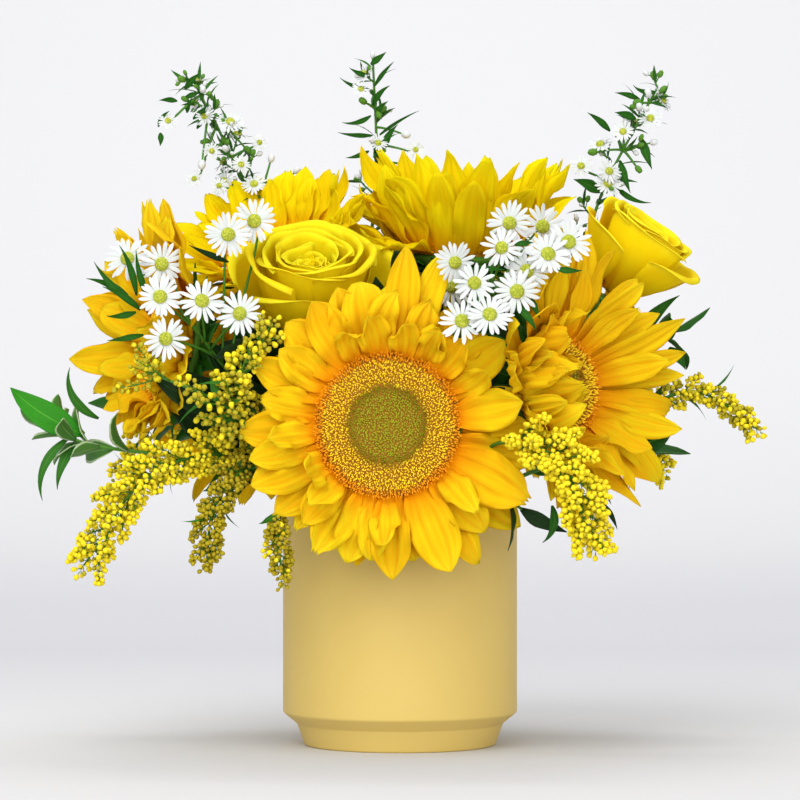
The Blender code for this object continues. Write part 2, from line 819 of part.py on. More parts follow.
clear_scene()
arrangement = bpy.data.collections.new("flower_arrangement")
bpy.context.scene.collection.children.link(arrangement)
in_place = Neighbours()
feet = []  # each stem's cut end and radius
leaf_green = finish("leaf_green", (0.06, 0.20, 0.04), 0.5)
disc_brown = finish("disc_brown", (0.45, 0.24, 0.03), 0.8)
petal_yellow = finish("petal_yellow", (0.95, 0.60, 0.01), 0.5)
rose_yellow = finish("rose_yellow", (0.93, 0.70, 0.03), 0.5)
aster_white = finish("aster_white", (0.85, 0.87, 0.82), 0.6)
aster_green = finish("aster_green", (0.30, 0.48, 0.24), 0.6)
goldenrod_yellow = finish("goldenrod_yellow", (0.70, 0.60, 0.03), 0.7)

# Centre, facing, disc radius, petal length and lift, then the crowded side, its extra lift and curl
SUNFLOWERS = [
    Sunflower("front", (-6, -98, 160), (-0.03, -1, 0.05), 34, 38, 8, seed=3),
    Sunflower("right", (77, -66, 179), (0.6, -0.78, 0.12), 24, 54, 18, (-0.95, -0.3, 0), 50, seed=5),
    Sunflower("crown", (30, 12, 250), (0.03, -0.1, 1), 25, 60, 48, (0, -1, 0), 26, 0.0, seed=7),
    Sunflower("upper_left", (-62, 4, 247), (-0.2, -0.46, 0.86), 25, 42, 18, (0.8, -0.2, 0), 40, seed=9),
    Sunflower("left", (-116, -28, 198), (-0.88, -0.42, 0.16), 25, 46, 20, (0.5, -0.85, 0), 25, seed=11),
    Sunflower("back_left", (-72, 82, 178), (-0.45, 0.88, 0.22), 28, 42, 20, seed=13),
    Sunflower("back_right", (74, 78, 184), (0.5, 0.84, 0.24), 28, 42, 20, seed=15),
]
ROSES = [
    Rose("front", (-42.6, -55, 239), (0, -0.5, 0.86), 35, seed=2),
    Rose("right", (123, -15, 254), (0.56, -0.24, 0.8), 28, seed=4),
    Rose("back", (-4, 92, 230), (0, 0.66, 0.75), 31, seed=6),
]
FRONT_LEFT_DAISIES = [
    (-131, -70, 240),
    (-114, -78, 237),
    (-114, -90, 221),
    (-94, -92, 219),
    (-76, -92, 213),
    (-111, -94, 201),
    (-82, -82, 251),
    (-70, -70, 258),
]
FRONT_RIGHT_DAISIES = [
    (26, -96, 237),
    (48, -98, 244),
    (52, -90, 256),
    (80, -92, 247),
    (70, -98, 241),
    (60, -98, 233),
    (35, -108, 227),
    (55, -108, 223),
    (29, -112, 209),
    (42, -114, 212),
]
ASTERS = [
    Aster("front_left", [(-78, -54, 180), (-104, -80, 214)], FRONT_LEFT_DAISIES, leaves=4, seed=21),
    Aster("front_right", [(26, -52, 192), (46, -84, 226)], FRONT_RIGHT_DAISIES, leaves=4, seed=22),
    Aster("top_left", [(-50, 42, 225), (-80, 48, 285), (-106, 42, 336)], twigs=7, leaves=8, seed=23),
    Aster("top_middle", [(-16, 46, 230), (-12, 52, 290), (-14, 45, 349)], twigs=4, leaves=9, seed=24),
    Aster("top_right", [(84, 34, 225), (104, 36, 280), (131, 32, 331)], twigs=7, leaves=8, seed=25),
    Aster("back_left", [(-48, 66, 200), (-68, 92, 262)], (), (-0.3, 1, 0.4), twigs=5, leaves=4, seed=26),
    Aster("back_right", [(44, 64, 205), (58, 92, 268)], (), (0.3, 1, 0.4), twigs=5, leaves=4, seed=27),
]
# Where the plume starts on the stem, its branches, their reach and thickness
GOLDENRODS = [
    Goldenrod("front_left", [(-64, -70, 154), (-84, -90, 176), (-124, -88, 190)], 0.4, 10, 24, 5, seed=31),
    Goldenrod("beside_front", [(-52, -70, 158), (-62, -94, 188), (-53, -100, 210)], 0.45, 7, 14, 4, seed=32),
    Goldenrod("left_plume", [(-84, -66, 146), (-124, -82, 134), (-156, -78, 90)], 0.36, 9, 20, 7, 2, seed=33),
    Goldenrod("left_hanging", [(-70, -74, 140), (-88, -86, 122), (-92, -86, 96)], 0.42, 7, 15, 6, 2, seed=34),
    Goldenrod("pot_side", [(-50, -84, 138), (-58, -92, 116), (-56, -90, 88)], 0.42, 7, 12, 5, 2, seed=35),
    Goldenrod("right_plume", [(48, -100, 152), (78, -124, 140), (96, -122, 98)], 0.36, 10, 18, 7, 2, seed=36),
    Goldenrod("right_arch", [(98, 2, 158), (146, -2, 176), (185, -4, 154)], 0.42, 9, 14, 4.2, 2, seed=37),
    Goldenrod("back_left", [(-80, 44, 150), (-126, 62, 160), (-150, 70, 118)], 0.4, 7, 18, 5.5, 2, seed=38),
    Goldenrod("back_middle", [(2, 84, 150), (4, 122, 150), (4, 132, 108)], 0.4, 7, 18, 5.5, 2, seed=39),
    Goldenrod("back_right", [(82, 40, 146), (124, 60, 150), (146, 66, 112)], 0.4, 7, 18, 5.5, 2, seed=40),
]
# Leaves, their length and width, and where on the stem they start
GREENERIES = [
    Greenery("left_branch", [(-96, -36, 142), (-150, -46, 150), (-166, -42, 158)], 8, 26, 10, 0.5, seed=41),
    Greenery("left_inner", [(-62, -34, 178), (-66, -56, 196)], 7, 28, 14, 0.25, seed=42),
    Greenery("middle_inner", [(6, -44, 190), (4, -52, 222)], 7, 28, 14, 0.25, seed=43),
    Greenery("right_inner", [(40, -44, 186), (46, -72, 196)], 7, 26, 13, 0.3, seed=44),
    Greenery("right_branch", [(98, -6, 190), (136, -6, 206)], 8, 28, 11, 0.3, seed=45),
    Greenery("top_inner", [(-24, 16, 200), (-28, 14, 240)], 7, 28, 13, 0.25, seed=46),
    Greenery("low_front", [(30, -84, 140), (58, -92, 120)], 6, 26, 8, 0.4, seed=47),
    Greenery("back_low", [(22, 86, 142), (32, 112, 122)], 7, 30, 12, 0.3, seed=48),
    Greenery("back_high", [(30, 46, 205), (28, 76, 238)], 7, 30, 13, 0.3, seed=49),
    Greenery("left_back", [(-84, 26, 160), (-128, 34, 168)], 7, 30, 12, 0.3, seed=50),
    Greenery("right_low", [(86, 26, 142), (118, 32, 146)], 7, 30, 12, 0.3, seed=51),
]


def build_arrangement():
    """Everything, in the order in which one piece makes way for another."""
    sprays = [*ASTERS, *GOLDENRODS, *GREENERIES]
    plants = [build_pot()]
    plants += [flower.build_stem() for flower in SUNFLOWERS]
    plants += [flower.build_disc() for flower in SUNFLOWERS]
    plants += [rose.build_stem() for rose in ROSES]
    plants += [rose.build_bloom() for rose in ROSES]
    for spray in sprays:
        spray.reserve()
    plants += [flower.build_petals() for flower in SUNFLOWERS]
    plants += [spray.build() for spray in sprays]
    for plant in plants:
        plant.join()
    build_foam()


build_arrangement()
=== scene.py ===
"""The looks of a potted arrangement: sunflowers, roses, asters, goldenrod and greenery in stoneware.

Every plant is grown again by the rule of its solid, from the same named places, and carried to finer
petals, florets, twigs and leaves within the same reach.  Lengths are in metres; tables are in millimetres.
"""

import logging
import math
import random
from collections.abc import Callable, Iterable, Sequence
from dataclasses import dataclass, field
from enum import Enum

import bmesh
import bpy
import numpy as np
from bpy.types import ID, Material, Mesh, Node, NodeSocket, NodeTree, Object
from mathutils import Matrix, Vector


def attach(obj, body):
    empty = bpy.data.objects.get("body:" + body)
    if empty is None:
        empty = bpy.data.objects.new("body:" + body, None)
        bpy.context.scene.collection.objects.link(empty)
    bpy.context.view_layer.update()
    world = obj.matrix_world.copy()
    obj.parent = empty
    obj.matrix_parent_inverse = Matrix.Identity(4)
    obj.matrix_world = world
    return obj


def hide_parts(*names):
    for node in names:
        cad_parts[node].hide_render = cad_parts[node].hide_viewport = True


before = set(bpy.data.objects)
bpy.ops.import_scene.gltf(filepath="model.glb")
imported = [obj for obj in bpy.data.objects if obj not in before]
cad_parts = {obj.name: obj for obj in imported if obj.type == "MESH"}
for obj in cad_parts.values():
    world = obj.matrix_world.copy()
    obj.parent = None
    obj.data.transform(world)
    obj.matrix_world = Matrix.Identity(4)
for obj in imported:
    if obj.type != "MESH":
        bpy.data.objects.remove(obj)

LOG = logging.getLogger("arrangement")
MM = 0.001
GOLDEN_ANGLE = math.pi * (3.0 - math.sqrt(5.0))
BODY = "root"
UV_NAME = "surface"
TINT_NAME = "tint"
RIPENESS = "ripeness"
HEIGHT = "floret_height"
TURN, SIZE, KIND = "turn", "size", "kind"
BLACK, WHITE = (0.0, 0.0, 0.0), (1.0, 1.0, 1.0)
WARM_LIGHT = (1.0, 0.45, 0.0)
WAXY_IOR, DULL_IOR = 1.5, 1.12

# The foam's middle, which every stem points to, how far from it they start and curve, and the ray's share
FOCUS = Vector((0.0, 0.0, 112 * MM))
STEM_START, STEM_EXIT = 28 * MM, 60 * MM
RAY_SHARE = 0.2

# The least width of a toothed petal past its belly, as a share of its widest
TOOTHED_TIP = 0.22

Colour = tuple[float, float, float]
Triple = tuple[float, float, float]
Table = Sequence[tuple[float, ...]]
Reach = tuple[float, float]
Profile = Sequence[Reach]


def millimetres(place: Triple) -> Vector:
    """A point given in millimetres."""
    return Vector(place) * MM


def frame_towards(direction: Vector, origin: Vector) -> Matrix:
    """A matrix at the origin whose +Z is the direction, with +Y as close to upright as it can be.

    Args:
        direction: where +Z points.
        origin: the matrix's place.

    Returns:
        The matrix.
    """
    z_axis = direction.normalized()
    hint = Vector((0.0, 0.0, 1.0)) if abs(z_axis.z) < 0.98 else Vector((0.0, 1.0, 0.0))
    x_axis = hint.cross(z_axis).normalized()
    turn = Matrix((x_axis, z_axis.cross(x_axis), z_axis)).transposed().to_4x4()
    return Matrix.Translation(origin) @ turn


def side_of(along: Vector, angle: float) -> Vector:
    """The direction square to `along` at this angle round it."""
    return frame_towards(along, Vector()).to_3x3() @ Vector((math.cos(angle), math.sin(angle), 0.0))


def spin(angle: float) -> Matrix:
    """A turn about +Z."""
    return Matrix.Rotation(angle, 4, "Z")


@dataclass
class Stem:
    """A stem's path: a straight ray from the foam, then a smooth curve through its targets."""

    targets: list[Vector]
    knots: list[Vector] = field(init=False)
    foot: Vector = field(init=False)

    def __post_init__(self) -> None:
        """Works out the ray's ends and the curve's knots."""
        ray = (self.targets[0] - FOCUS).normalized()
        self.foot = FOCUS + ray * STEM_START
        self.knots = [FOCUS + ray * STEM_EXIT, *self.targets]

    def point(self, share: float) -> Vector:
        """The point at a share of the way: on the ray first, then on the curve.

        Args:
            share: from 0 to 1.

        Returns:
            The point.
        """
        if share < RAY_SHARE:
            return self.foot.lerp(self.knots[0], share / RAY_SHARE)
        ends = [2 * self.knots[0] - self.knots[1], *self.knots, 2 * self.knots[-1] - self.knots[-2]]
        spans = len(self.knots) - 1
        reach = min((share - RAY_SHARE) / (1 - RAY_SHARE), 1.0) * spans
        span = min(int(reach), spans - 1)
        t = reach - span
        a, b, c, d = ends[span : span + 4]
        square, cube = 2 * a - 5 * b + 4 * c - d, 3 * b - a - 3 * c + d
        return 0.5 * (2 * b + (c - a) * t + square * t**2 + cube * t**3)

    def at(self, share: float) -> tuple[Vector, Vector]:
        """The point at a share of the way, and the stem's direction there."""
        start, end = self.point(max(share - 0.01, 0.0)), self.point(min(share + 0.01, 1.0))
        return self.point(share), (end - start).normalized()

    def run(self, steps: int) -> list[Vector]:
        """Points evenly along the stem."""
        return [self.point(step / steps) for step in range(steps + 1)]


# Petals and leaves


@dataclass(frozen=True)
class Outline:
    """A blade's outline: its root's width, where it is widest, and how full and tapered it is past there."""

    root: float = 0.35
    belly: float = 0.5
    fullness: float = 1.8
    taper: float = 1.1
    end: float = 0.03

    def half_width(self, along: np.ndarray) -> np.ndarray:
        """The half width along the blade, as a share of the widest.

        Args:
            along: shares of the length.

        Returns:
            The half widths.
        """
        rise = self.root + (1 - self.root) * np.sin(np.pi / 2 * np.clip(along / self.belly, 0, 1))
        past = np.clip((along - self.belly) / (1 - self.belly), 0, 1)
        fall = (1 - past**self.fullness) ** self.taper
        return np.where(along < self.belly, rise, np.maximum(fall, self.end))


@dataclass(frozen=True)
class Blade:
    """One petal or leaf, from its place's origin along +X, with its upper face to +Z.

    Angles are in radians: it is lifted at its root, bends and sways evenly, and curls only near its tip.
    """

    place: Matrix
    length: float
    width: float
    lift: float = 0.0
    bend: float = 0.0
    sway: float = 0.0
    twist: float = 0.0
    curl: float = 0.0
    cup: float = 0.0
    folds: float = 0.0
    ruffle: float = 0.0
    wobble: float = 0.0
    teeth: float = 0.0
    tint: float = 0.5

    def ways(self, share: np.ndarray) -> np.ndarray:
        """The spine's direction along the blade.

        Args:
            share: shares of the length.

        Returns:
            Unit vectors.
        """
        wave = self.wobble * np.sin(5 * share + 40 * self.tint)
        pitch, yaw = self.lift + self.bend * share**1.4 + self.curl * share**5 + wave, self.sway * share**1.4
        return np.stack([np.cos(pitch) * np.cos(yaw), np.cos(pitch) * np.sin(yaw), np.sin(pitch)], -1)

    def sheet(self, outline: Outline, rows: int, columns: int) -> np.ndarray:
        """The blade's surface.

        Args:
            outline: its outline.
            rows: faces along it.
            columns: faces across it.

        Returns:
            Points, as an array of rows + 1 by columns + 1 by 3.
        """
        share = np.linspace(0, 1, rows + 1)
        t = np.linspace(-1, 1, columns + 1)[None, :]
        steps = self.ways((share[1:] + share[:-1]) / 2) * self.length / rows
        spine = np.vstack([np.zeros(3), np.cumsum(steps, 0)])
        along, yaw = self.ways(share), self.sway * share**1.4
        flat = np.stack([-np.sin(yaw), np.cos(yaw), np.zeros_like(yaw)], -1)
        above = np.cross(along, flat)
        roll = (self.twist * share)[:, None]
        across = flat * np.cos(roll) + above * np.sin(roll)
        upper = above * np.cos(roll) - flat * np.sin(roll)
        width = outline.half_width(share)
        width = np.where(share > outline.belly, np.maximum(width, TOOTHED_TIP * self.teeth), width)
        half = width[:, None] * self.width / 2
        share = share[:, None]
        fade = np.sin(np.pi * np.clip(share, 0.02, 0.98)) ** 0.5
        height = half * (
            self.cup * t**2
            + self.folds * fade * np.cos(3 * np.pi * t + 2 * self.tint)
            + self.ruffle * np.sin(13 * share + 40 * self.tint + 1.5 * t) * t**2
        )
        back = 0.025 * self.teeth * self.length * (1 - np.cos(9 * t)) * share**8
        points = spine[:, None] + across[:, None] * (half * t)[..., None] + upper[:, None] * height[..., None]
        points = points - along[:, None] * back[..., None]
        turn = np.array(self.place)
        return points @ turn[:3, :3].T + turn[:3, 3]


# Meshes


def strips(number: np.ndarray, beside: np.ndarray) -> np.ndarray:
    """Faces of four corners between rows of point numbers and the numbers beside them."""
    return np.stack([number[:-1], beside[:-1], beside[1:], number[1:]], -1).reshape(-1, 4)


def mark(mesh: Mesh, name: str, values: Sequence[float]) -> None:
    """Gives each point of a mesh a value of this name."""
    mesh.attributes.new(name, "FLOAT", "POINT").data.foreach_set("value", values)


def spots_between(rows: int, columns: int) -> np.ndarray:
    """Each point's place on a surface of rows and columns, across and along."""
    return np.stack(np.meshgrid(np.linspace(0, 1, columns), np.linspace(0, 1, rows)), -1)


@dataclass
class Tissue:
    """A joined mesh in the making: small surfaces whose points have a tint and a place on their surface."""

    points: list[np.ndarray] = field(default_factory=list)
    faces: list[np.ndarray] = field(default_factory=list)
    places: list[np.ndarray] = field(default_factory=list)
    tints: list[np.ndarray] = field(default_factory=list)
    count: int = 0

    def add(self, points: np.ndarray, faces: Sequence[np.ndarray], places: np.ndarray, tint: float) -> None:
        """Adds one surface.

        Args:
            points: its points.
            faces: arrays of point numbers, each of faces with one number of corners.
            places: the points' places on the surface, across and along, from 0 to 1.
            tint: its own shade, from 0 to 1.
        """
        self.points.append(points.reshape(-1, 3))
        self.faces += [group + self.count for group in faces]
        self.places.append(places.reshape(-1, 2))
        self.tints.append(np.full(len(self.points[-1]), tint))
        self.count += len(self.points[-1])

    def add_grid(self, points: np.ndarray, tint: float = 0.5, tube: bool = False) -> None:
        """Adds a surface of rows and columns of points.

        Args:
            points: rows by columns by 3.
            tint: its own shade.
            tube: whether the last column joins the first, and the first and last rows are closed.
        """
        rows, columns = points.shape[:2]
        number = np.arange(rows * columns).reshape(rows, columns)
        beside = np.roll(number, -1, axis=1)
        if not tube:
            number, beside = number[:, :-1], beside[:, :-1]
        faces = [strips(number, beside)]
        if tube:
            first = np.arange(columns)
            faces += [first[None, ::-1], (first + (rows - 1) * columns)[None, :]]
        self.add(points, faces, spots_between(rows, columns), tint)

    def add_blades(self, blades: Sequence[Blade], outline: Outline, rows: int, columns: int) -> None:
        """Adds petals or leaves of one outline, each of so many faces along and across."""
        for blade in blades:
            self.add_grid(blade.sheet(outline, rows, columns), blade.tint)

    def add_tube(self, path: Sequence[Vector], start: float, end: float, sides: int) -> None:
        """Adds a closed round stem along a path.

        Args:
            path: its points.
            start: its radius at the first point, in millimetres.
            end: its radius at the last point, in millimetres.
            sides: its number of sides.
        """
        start, end = start * MM, end * MM
        line = np.array([tuple(point) for point in path])
        along = np.gradient(line, axis=0)
        along /= np.linalg.norm(along, axis=1)[:, None]
        side = np.array(side_of(Vector(along[0]), 0.0))
        rings = []
        for index, (point, way) in enumerate(zip(line, along, strict=True)):
            side = side - way * side.dot(way)
            side /= np.linalg.norm(side)
            up = np.cross(way, side)
            radius = start + (end - start) * index / (len(line) - 1)
            angle = np.arange(sides) * 2 * np.pi / sides
            rings.append(point + radius * (np.cos(angle)[:, None] * side + np.sin(angle)[:, None] * up))
        self.add_grid(np.array(rings), tube=True)

    def add_turned(self, profile: Profile, place: Matrix, sides: int, scale: float = 1.0) -> None:
        """Adds a turned shape about the place's +Z, closed at a pole where the profile starts and ends.

        Args:
            profile: radius and height pairs, running down the outside; the first and last radius are 0.
            place: where it stands.
            sides: its number of sides.
            scale: the profile's unit.
        """
        turn = np.array(place)
        profile = [(radius * scale, height * scale) for radius, height in profile]
        angle = -np.arange(sides) * 2 * np.pi / sides
        rings = np.array([[(r * np.cos(a), r * np.sin(a), z) for a in angle] for r, z in profile[1:-1]])
        poles = np.array([(0.0, 0.0, profile[0][1]), (0.0, 0.0, profile[-1][1])])
        points = np.vstack([rings.reshape(-1, 3), poles]) @ turn[:3, :3].T + turn[:3, 3]
        rows = len(rings)
        number = np.arange(rows * sides).reshape(rows, sides)
        beside = np.roll(number, -1, axis=1)
        top = np.stack([np.full(sides, rows * sides), beside[0], number[0]], -1)
        foot = np.stack([np.full(sides, rows * sides + 1), number[-1], beside[-1]], -1)
        places = np.vstack([spots_between(rows, sides).reshape(-1, 2), [(0.5, 0.0), (0.5, 1.0)]])
        self.add(points, [strips(number, beside), top, foot], places, 0.5)

    def build(self, name: str, material: Material, thickness: float = 0.0) -> Object:
        """The tissue as one smooth object at the origin.

        Args:
            name: the object's name.
            material: its finish.
            thickness: the wall that open sheets are given, or 0.

        Returns:
            The object.
        """
        points, loops = np.vstack(self.points), np.concatenate([group.ravel() for group in self.faces])
        sizes = np.concatenate([np.full(len(group), group.shape[1]) for group in self.faces])
        mesh = bpy.data.meshes.new(name)
        mesh.vertices.add(len(points))
        mesh.vertices.foreach_set("co", points.ravel())
        mesh.loops.add(len(loops))
        mesh.loops.foreach_set("vertex_index", loops)
        mesh.polygons.add(len(sizes))
        mesh.polygons.foreach_set("loop_start", np.concatenate([[0], np.cumsum(sizes)[:-1]]))
        mesh.update(calc_edges=True)
        mesh.validate()
        layer = mesh.uv_layers.new(name=UV_NAME)
        layer.data.foreach_set("uv", np.vstack(self.places)[loops].ravel())
        mark(mesh, TINT_NAME, np.concatenate(self.tints))
        mesh.materials.append(material)
        mesh.shade_smooth()
        piece = link(name, mesh)
        if thickness:
            wall = piece.modifiers.new("wall", "SOLIDIFY")
            wall.thickness = thickness
            wall.offset = 0.0
        return piece

    def dress(self, name: str, finish: "Palette", slot: str, *nodes: str, thickness: float = 0.0) -> None:
        """Builds the tissue in its finish and ties it to the frame.

        Args:
            name: the piece's name.
            finish: its finish.
            slot: the name of that finish's slot, passed on to wear.
            nodes: the solids that it stands for.
            thickness: the wall that open sheets are given, or 0.
        """
        wear(self.build(name, finish.material(), thickness), slot, *nodes)


def link(name: str, data: ID) -> Object:
    """Puts a mesh, lamp or camera in the scene, at the origin.

    Args:
        name: its name.
        data: its data.

    Returns:
        The object.
    """
    piece = bpy.data.objects.new(name, data)
    bpy.context.scene.collection.objects.link(piece)
    return piece


def wear(piece: Object, slot: str, *nodes: str) -> None:
    """Ties a finished piece to the frame and reports it.

    Args:
        piece: the piece.
        slot: not used.
        nodes: the solids that it stands for.
    """
    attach(piece, BODY)
    if nodes:
        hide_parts(*nodes)
    LOG.info("%s: %d faces, for %s", piece.name, len(piece.data.polygons), ", ".join(nodes) or "no solid")


# Node trees


def math_node(operation: str) -> Callable[..., "Signal"]:
    """The method that adds one operator's Math node."""
    return lambda self, *others: self.graph.math(operation, self, *others)


class Signal:
    """A node's output. Arithmetic on it adds Math nodes to its tree."""

    __add__, __sub__, __mul__, __truediv__ = map(math_node, ("ADD", "SUBTRACT", "MULTIPLY", "DIVIDE"))
    __pow__, __abs__, __gt__, __lt__ = map(math_node, ("POWER", "ABSOLUTE", "GREATER_THAN", "LESS_THAN"))

    def __init__(self, graph: "Graph", socket: NodeSocket) -> None:
        """Keeps the output's socket and its graph."""
        self.graph, self.socket = graph, socket


class Graph:
    """A node tree with one short call for adding a node and linking it."""

    def __init__(self, tree: NodeTree) -> None:
        """Keeps the tree."""
        self.tree = tree

    def add(self, kind: str, inputs: dict | None = None, **settings: object) -> Node:
        """Adds a node.

        Args:
            kind: its type's name.
            inputs: a value or a signal for each of its inputs, by name or number.
            settings: its own properties.

        Returns:
            The node.
        """
        node = self.tree.nodes.new(kind)
        for name, value in settings.items():
            setattr(node, name, value)
        for name, value in (inputs or {}).items():
            if isinstance(value, Signal):
                self.tree.links.new(value.socket, node.inputs[name])
            else:
                node.inputs[name].default_value = value
        return node

    def signal(
        self, kind: str, inputs: dict | None = None, output: int | str = 0, **settings: object
    ) -> Signal:
        """One output of a new node."""
        return Signal(self, self.add(kind, inputs, **settings).outputs[output])

    def math(self, operation: str, *values: object) -> Signal:
        """The result of a Math node."""
        return self.signal("ShaderNodeMath", dict(enumerate(values)), operation=operation)

    def spread(self, *values: object) -> Signal:
        """A vector of three values."""
        return self.signal("ShaderNodeCombineXYZ", dict(enumerate(values)))


class Finish(Graph):
    """A surface's node tree round one Principled shader."""

    def __init__(self, name: str, roughness: float, gloss: float = 0.3) -> None:
        """Starts a material whose roughness and gloss are the same all over.

        Args:
            name: its name.
            roughness: its roughness.
            gloss: its gloss.
        """
        self.material = bpy.data.materials.new(name)
        self.material.use_nodes = True
        super().__init__(self.material.node_tree)
        self.shader = self.tree.nodes["Principled BSDF"]
        self.shader.inputs["Roughness"].default_value = roughness
        self.shader.inputs["Specular IOR Level"].default_value = gloss
        self.shader.inputs["IOR"].default_value = WAXY_IOR if gloss > 0.1 else DULL_IOR

    def place(self) -> tuple[Signal, Signal]:
        """Where a point is on its own surface: across and along."""
        parts = self.add("ShaderNodeSeparateXYZ", {0: self.signal("ShaderNodeUVMap", uv_map=UV_NAME)})
        return Signal(self, parts.outputs[0]), Signal(self, parts.outputs[1])

    def body_place(self) -> Signal:
        """Where a point is on the object."""
        return self.signal("ShaderNodeTexCoord", output="Object")

    def attribute(self, name: str) -> Signal:
        """A named attribute of the mesh."""
        return self.signal("ShaderNodeAttribute", output="Fac", attribute_name=name)

    def ramp(self, value: Signal, stops: Sequence[tuple[float, Colour]]) -> Signal:
        """A colour that runs through the stops as the value does.

        Args:
            value: the value.
            stops: positions and their colours.

        Returns:
            The colour.
        """
        node = self.add("ShaderNodeValToRGB", {0: value})
        elements = node.color_ramp.elements
        while len(elements) < len(stops):
            elements.new(0.5)
        for element, (position, colour) in zip(elements, stops, strict=True):
            element.position = position
            element.color = (*colour, 1.0)
        return Signal(self, node.outputs[0])

    def mix(self, factor: object, first: object, second: object) -> Signal:
        """A mix of two colours, each a signal or a triple.

        Args:
            factor: the second one's share.
            first: the first.
            second: the second.

        Returns:
            The mix.
        """
        inputs = {0: factor, 6: first, 7: second}
        for number in (6, 7):
            if not isinstance(inputs[number], Signal):
                inputs[number] = (*inputs[number], 1.0)
        return self.signal("ShaderNodeMix", inputs, 2, data_type="RGBA")

    def noise(
        self, scale: float, stretch: Triple = (1, 1, 1), detail: float = 3.0, uv: bool = False
    ) -> Signal:
        """A noise on the object's own coordinates, or on the surface's.

        Args:
            scale: how fine it is.
            stretch: how much finer it is along each axis.
            detail: its octaves.
            uv: whether it follows the surface.

        Returns:
            The noise, from 0 to 1.
        """
        source = self.signal("ShaderNodeUVMap", uv_map=UV_NAME) if uv else self.body_place()
        place = self.signal("ShaderNodeMapping", {"Vector": source, "Scale": stretch})
        return self.signal("ShaderNodeTexNoise", {"Vector": place, "Scale": scale, "Detail": detail})

    def done(
        self, colour: Signal, relief: Signal | None, height: float = 0, glow: float = 0, warmth: float = 0
    ) -> Material:
        """Links the colour, and the relief as a bump, to the shader.

        Args:
            colour: the colour.
            relief: the relief, or None.
            height: the relief's height.
            glow: the share of light that passes through the sheet.
            warmth: how far that light turns orange.

        Returns:
            The material.
        """
        self.tree.links.new(colour.socket, self.shader.inputs["Base Color"])
        if glow:
            warm = self.mix(warmth, colour, WARM_LIGHT)
            through = self.signal("ShaderNodeBsdfTranslucent", {"Color": warm})
            shader = Signal(self, self.shader.outputs[0])
            both = self.signal("ShaderNodeMixShader", {0: glow, 1: shader, 2: through})
            self.tree.links.new(both.socket, self.tree.nodes["Material Output"].inputs["Surface"])
        if relief is not None:
            bump = self.signal("ShaderNodeBump", {"Height": relief, "Distance": height, "Strength": 1.0})
            self.tree.links.new(bump.socket, self.shader.inputs["Normal"])
        return self.material


@dataclass(frozen=True)
class PetalFinish:
    """A petal: coloured from root to tip, its orange root partly painted shade, with long veins and painted
    shade in its folds, each petal its own tone.
    """

    name: str
    root: Colour
    body: Colour
    tip: Colour
    deep: Colour
    lines: float = 0.24
    # folds: how strong the painted shade in the petal's folds is
    folds: float = 0.18
    cycles: Triple = (10.0, 1.0, 1.0)
    glow: float = 0.24
    warmth: float = 0.45

    def build(self) -> Material:
        """Builds the node tree.

        Returns:
            The material.
        """
        finish = Finish(self.name, 0.55, 0.06)
        across, along = finish.place()
        # Deeper orange at the root: partly the petal's own colour, partly painted shade where the petals
        # overlap
        colour = finish.ramp(along, [(0.0, self.root), (0.42, self.body), (0.72, self.body), (1.0, self.tip)])
        vein = finish.noise(1.0, self.cycles, uv=True)
        line = finish.ramp(vein, [(0.42, BLACK), (0.62, WHITE)])
        colour = finish.mix(line * self.lines, colour, self.deep)
        # Painted shade: the deep colour where the pleats' grooves dip across the petal
        wave = finish.math("COSINE", (across - 0.5) * (6 * math.pi))
        painted_fold_shade = finish.math("MAXIMUM", wave * -1.0, 0.0) * self.folds
        colour = finish.mix(painted_fold_shade, colour, self.deep)
        own = (finish.attribute(TINT_NAME) + finish.noise(55.0)) * 0.3
        colour = finish.mix(own - 0.2, colour, self.deep)
        return finish.done(colour, vein, 0.8 * MM, self.glow, self.warmth)


@dataclass(frozen=True)
class LeafFinish:
    """A leaf: green with a paler midrib and edge, and slanting side veins."""

    name: str
    green: Colour
    rib: Colour
    dark: Colour
    edge: Colour | None = None

    def build(self) -> Material:
        """Builds the node tree.

        Returns:
            The material.
        """
        finish = Finish(self.name, 0.45, 0.16)
        across, along = finish.place()
        off_middle = abs(across - 0.5)
        slant = along * 60.0 + off_middle * -45.0
        side_vein = abs(finish.math("SINE", slant)) ** 6.0
        rib = off_middle < 0.035
        colour = finish.mix(finish.attribute(TINT_NAME), self.green, self.dark)
        colour = finish.mix(side_vein * 0.22, colour, self.rib)
        colour = finish.mix(rib * 0.6, colour, self.rib)
        if self.edge:
            rim = off_middle + finish.noise(5.0, uv=True) * 0.12 > 0.47
            colour = finish.mix(rim, colour, self.edge)
        colour = finish.mix(finish.noise(260.0) * 0.35, colour, self.dark)
        return finish.done(colour, side_vein * -0.5 + rib * -1.0, 0.2 * MM)


@dataclass(frozen=True)
class GrainFinish:
    """A plain tissue, clay or foam: one colour mottled with a second, with a grain of its own size."""

    name: str
    colour: Colour
    second: Colour
    grain: float
    relief: float
    roughness: float = 0.6
    stretch: Triple = (1.0, 1.0, 1.0)
    share: float = 0.6
    fine: float = 0.0
    gloss: float = 0.2
    cells: float = 0.0

    def build(self) -> Material:
        """Builds the node tree.

        Returns:
            The material.
        """
        finish = Finish(self.name, self.roughness, self.gloss)
        grain = finish.noise(self.grain, self.stretch, 4.0)
        colour = finish.mix(grain * self.share, self.colour, self.second)
        colour = finish.mix(finish.attribute(TINT_NAME) * 0.4, colour, self.second)
        # Cells: darker towards each cell's edge, where the relief dips, a painted shade between the granules
        if self.cells:
            inputs = {"Vector": finish.body_place(), "Scale": self.cells}
            grain = finish.signal("ShaderNodeTexVoronoi", inputs, "Distance")
            colour = finish.mix(grain**2.0 * 2.4, colour, self.second)
            grain *= -1.0
        if self.fine:
            fleck = finish.noise(self.fine, detail=1.0) > 0.71
            colour = finish.mix(fleck * 0.35, colour, self.second)
        return finish.done(colour, grain, self.relief)


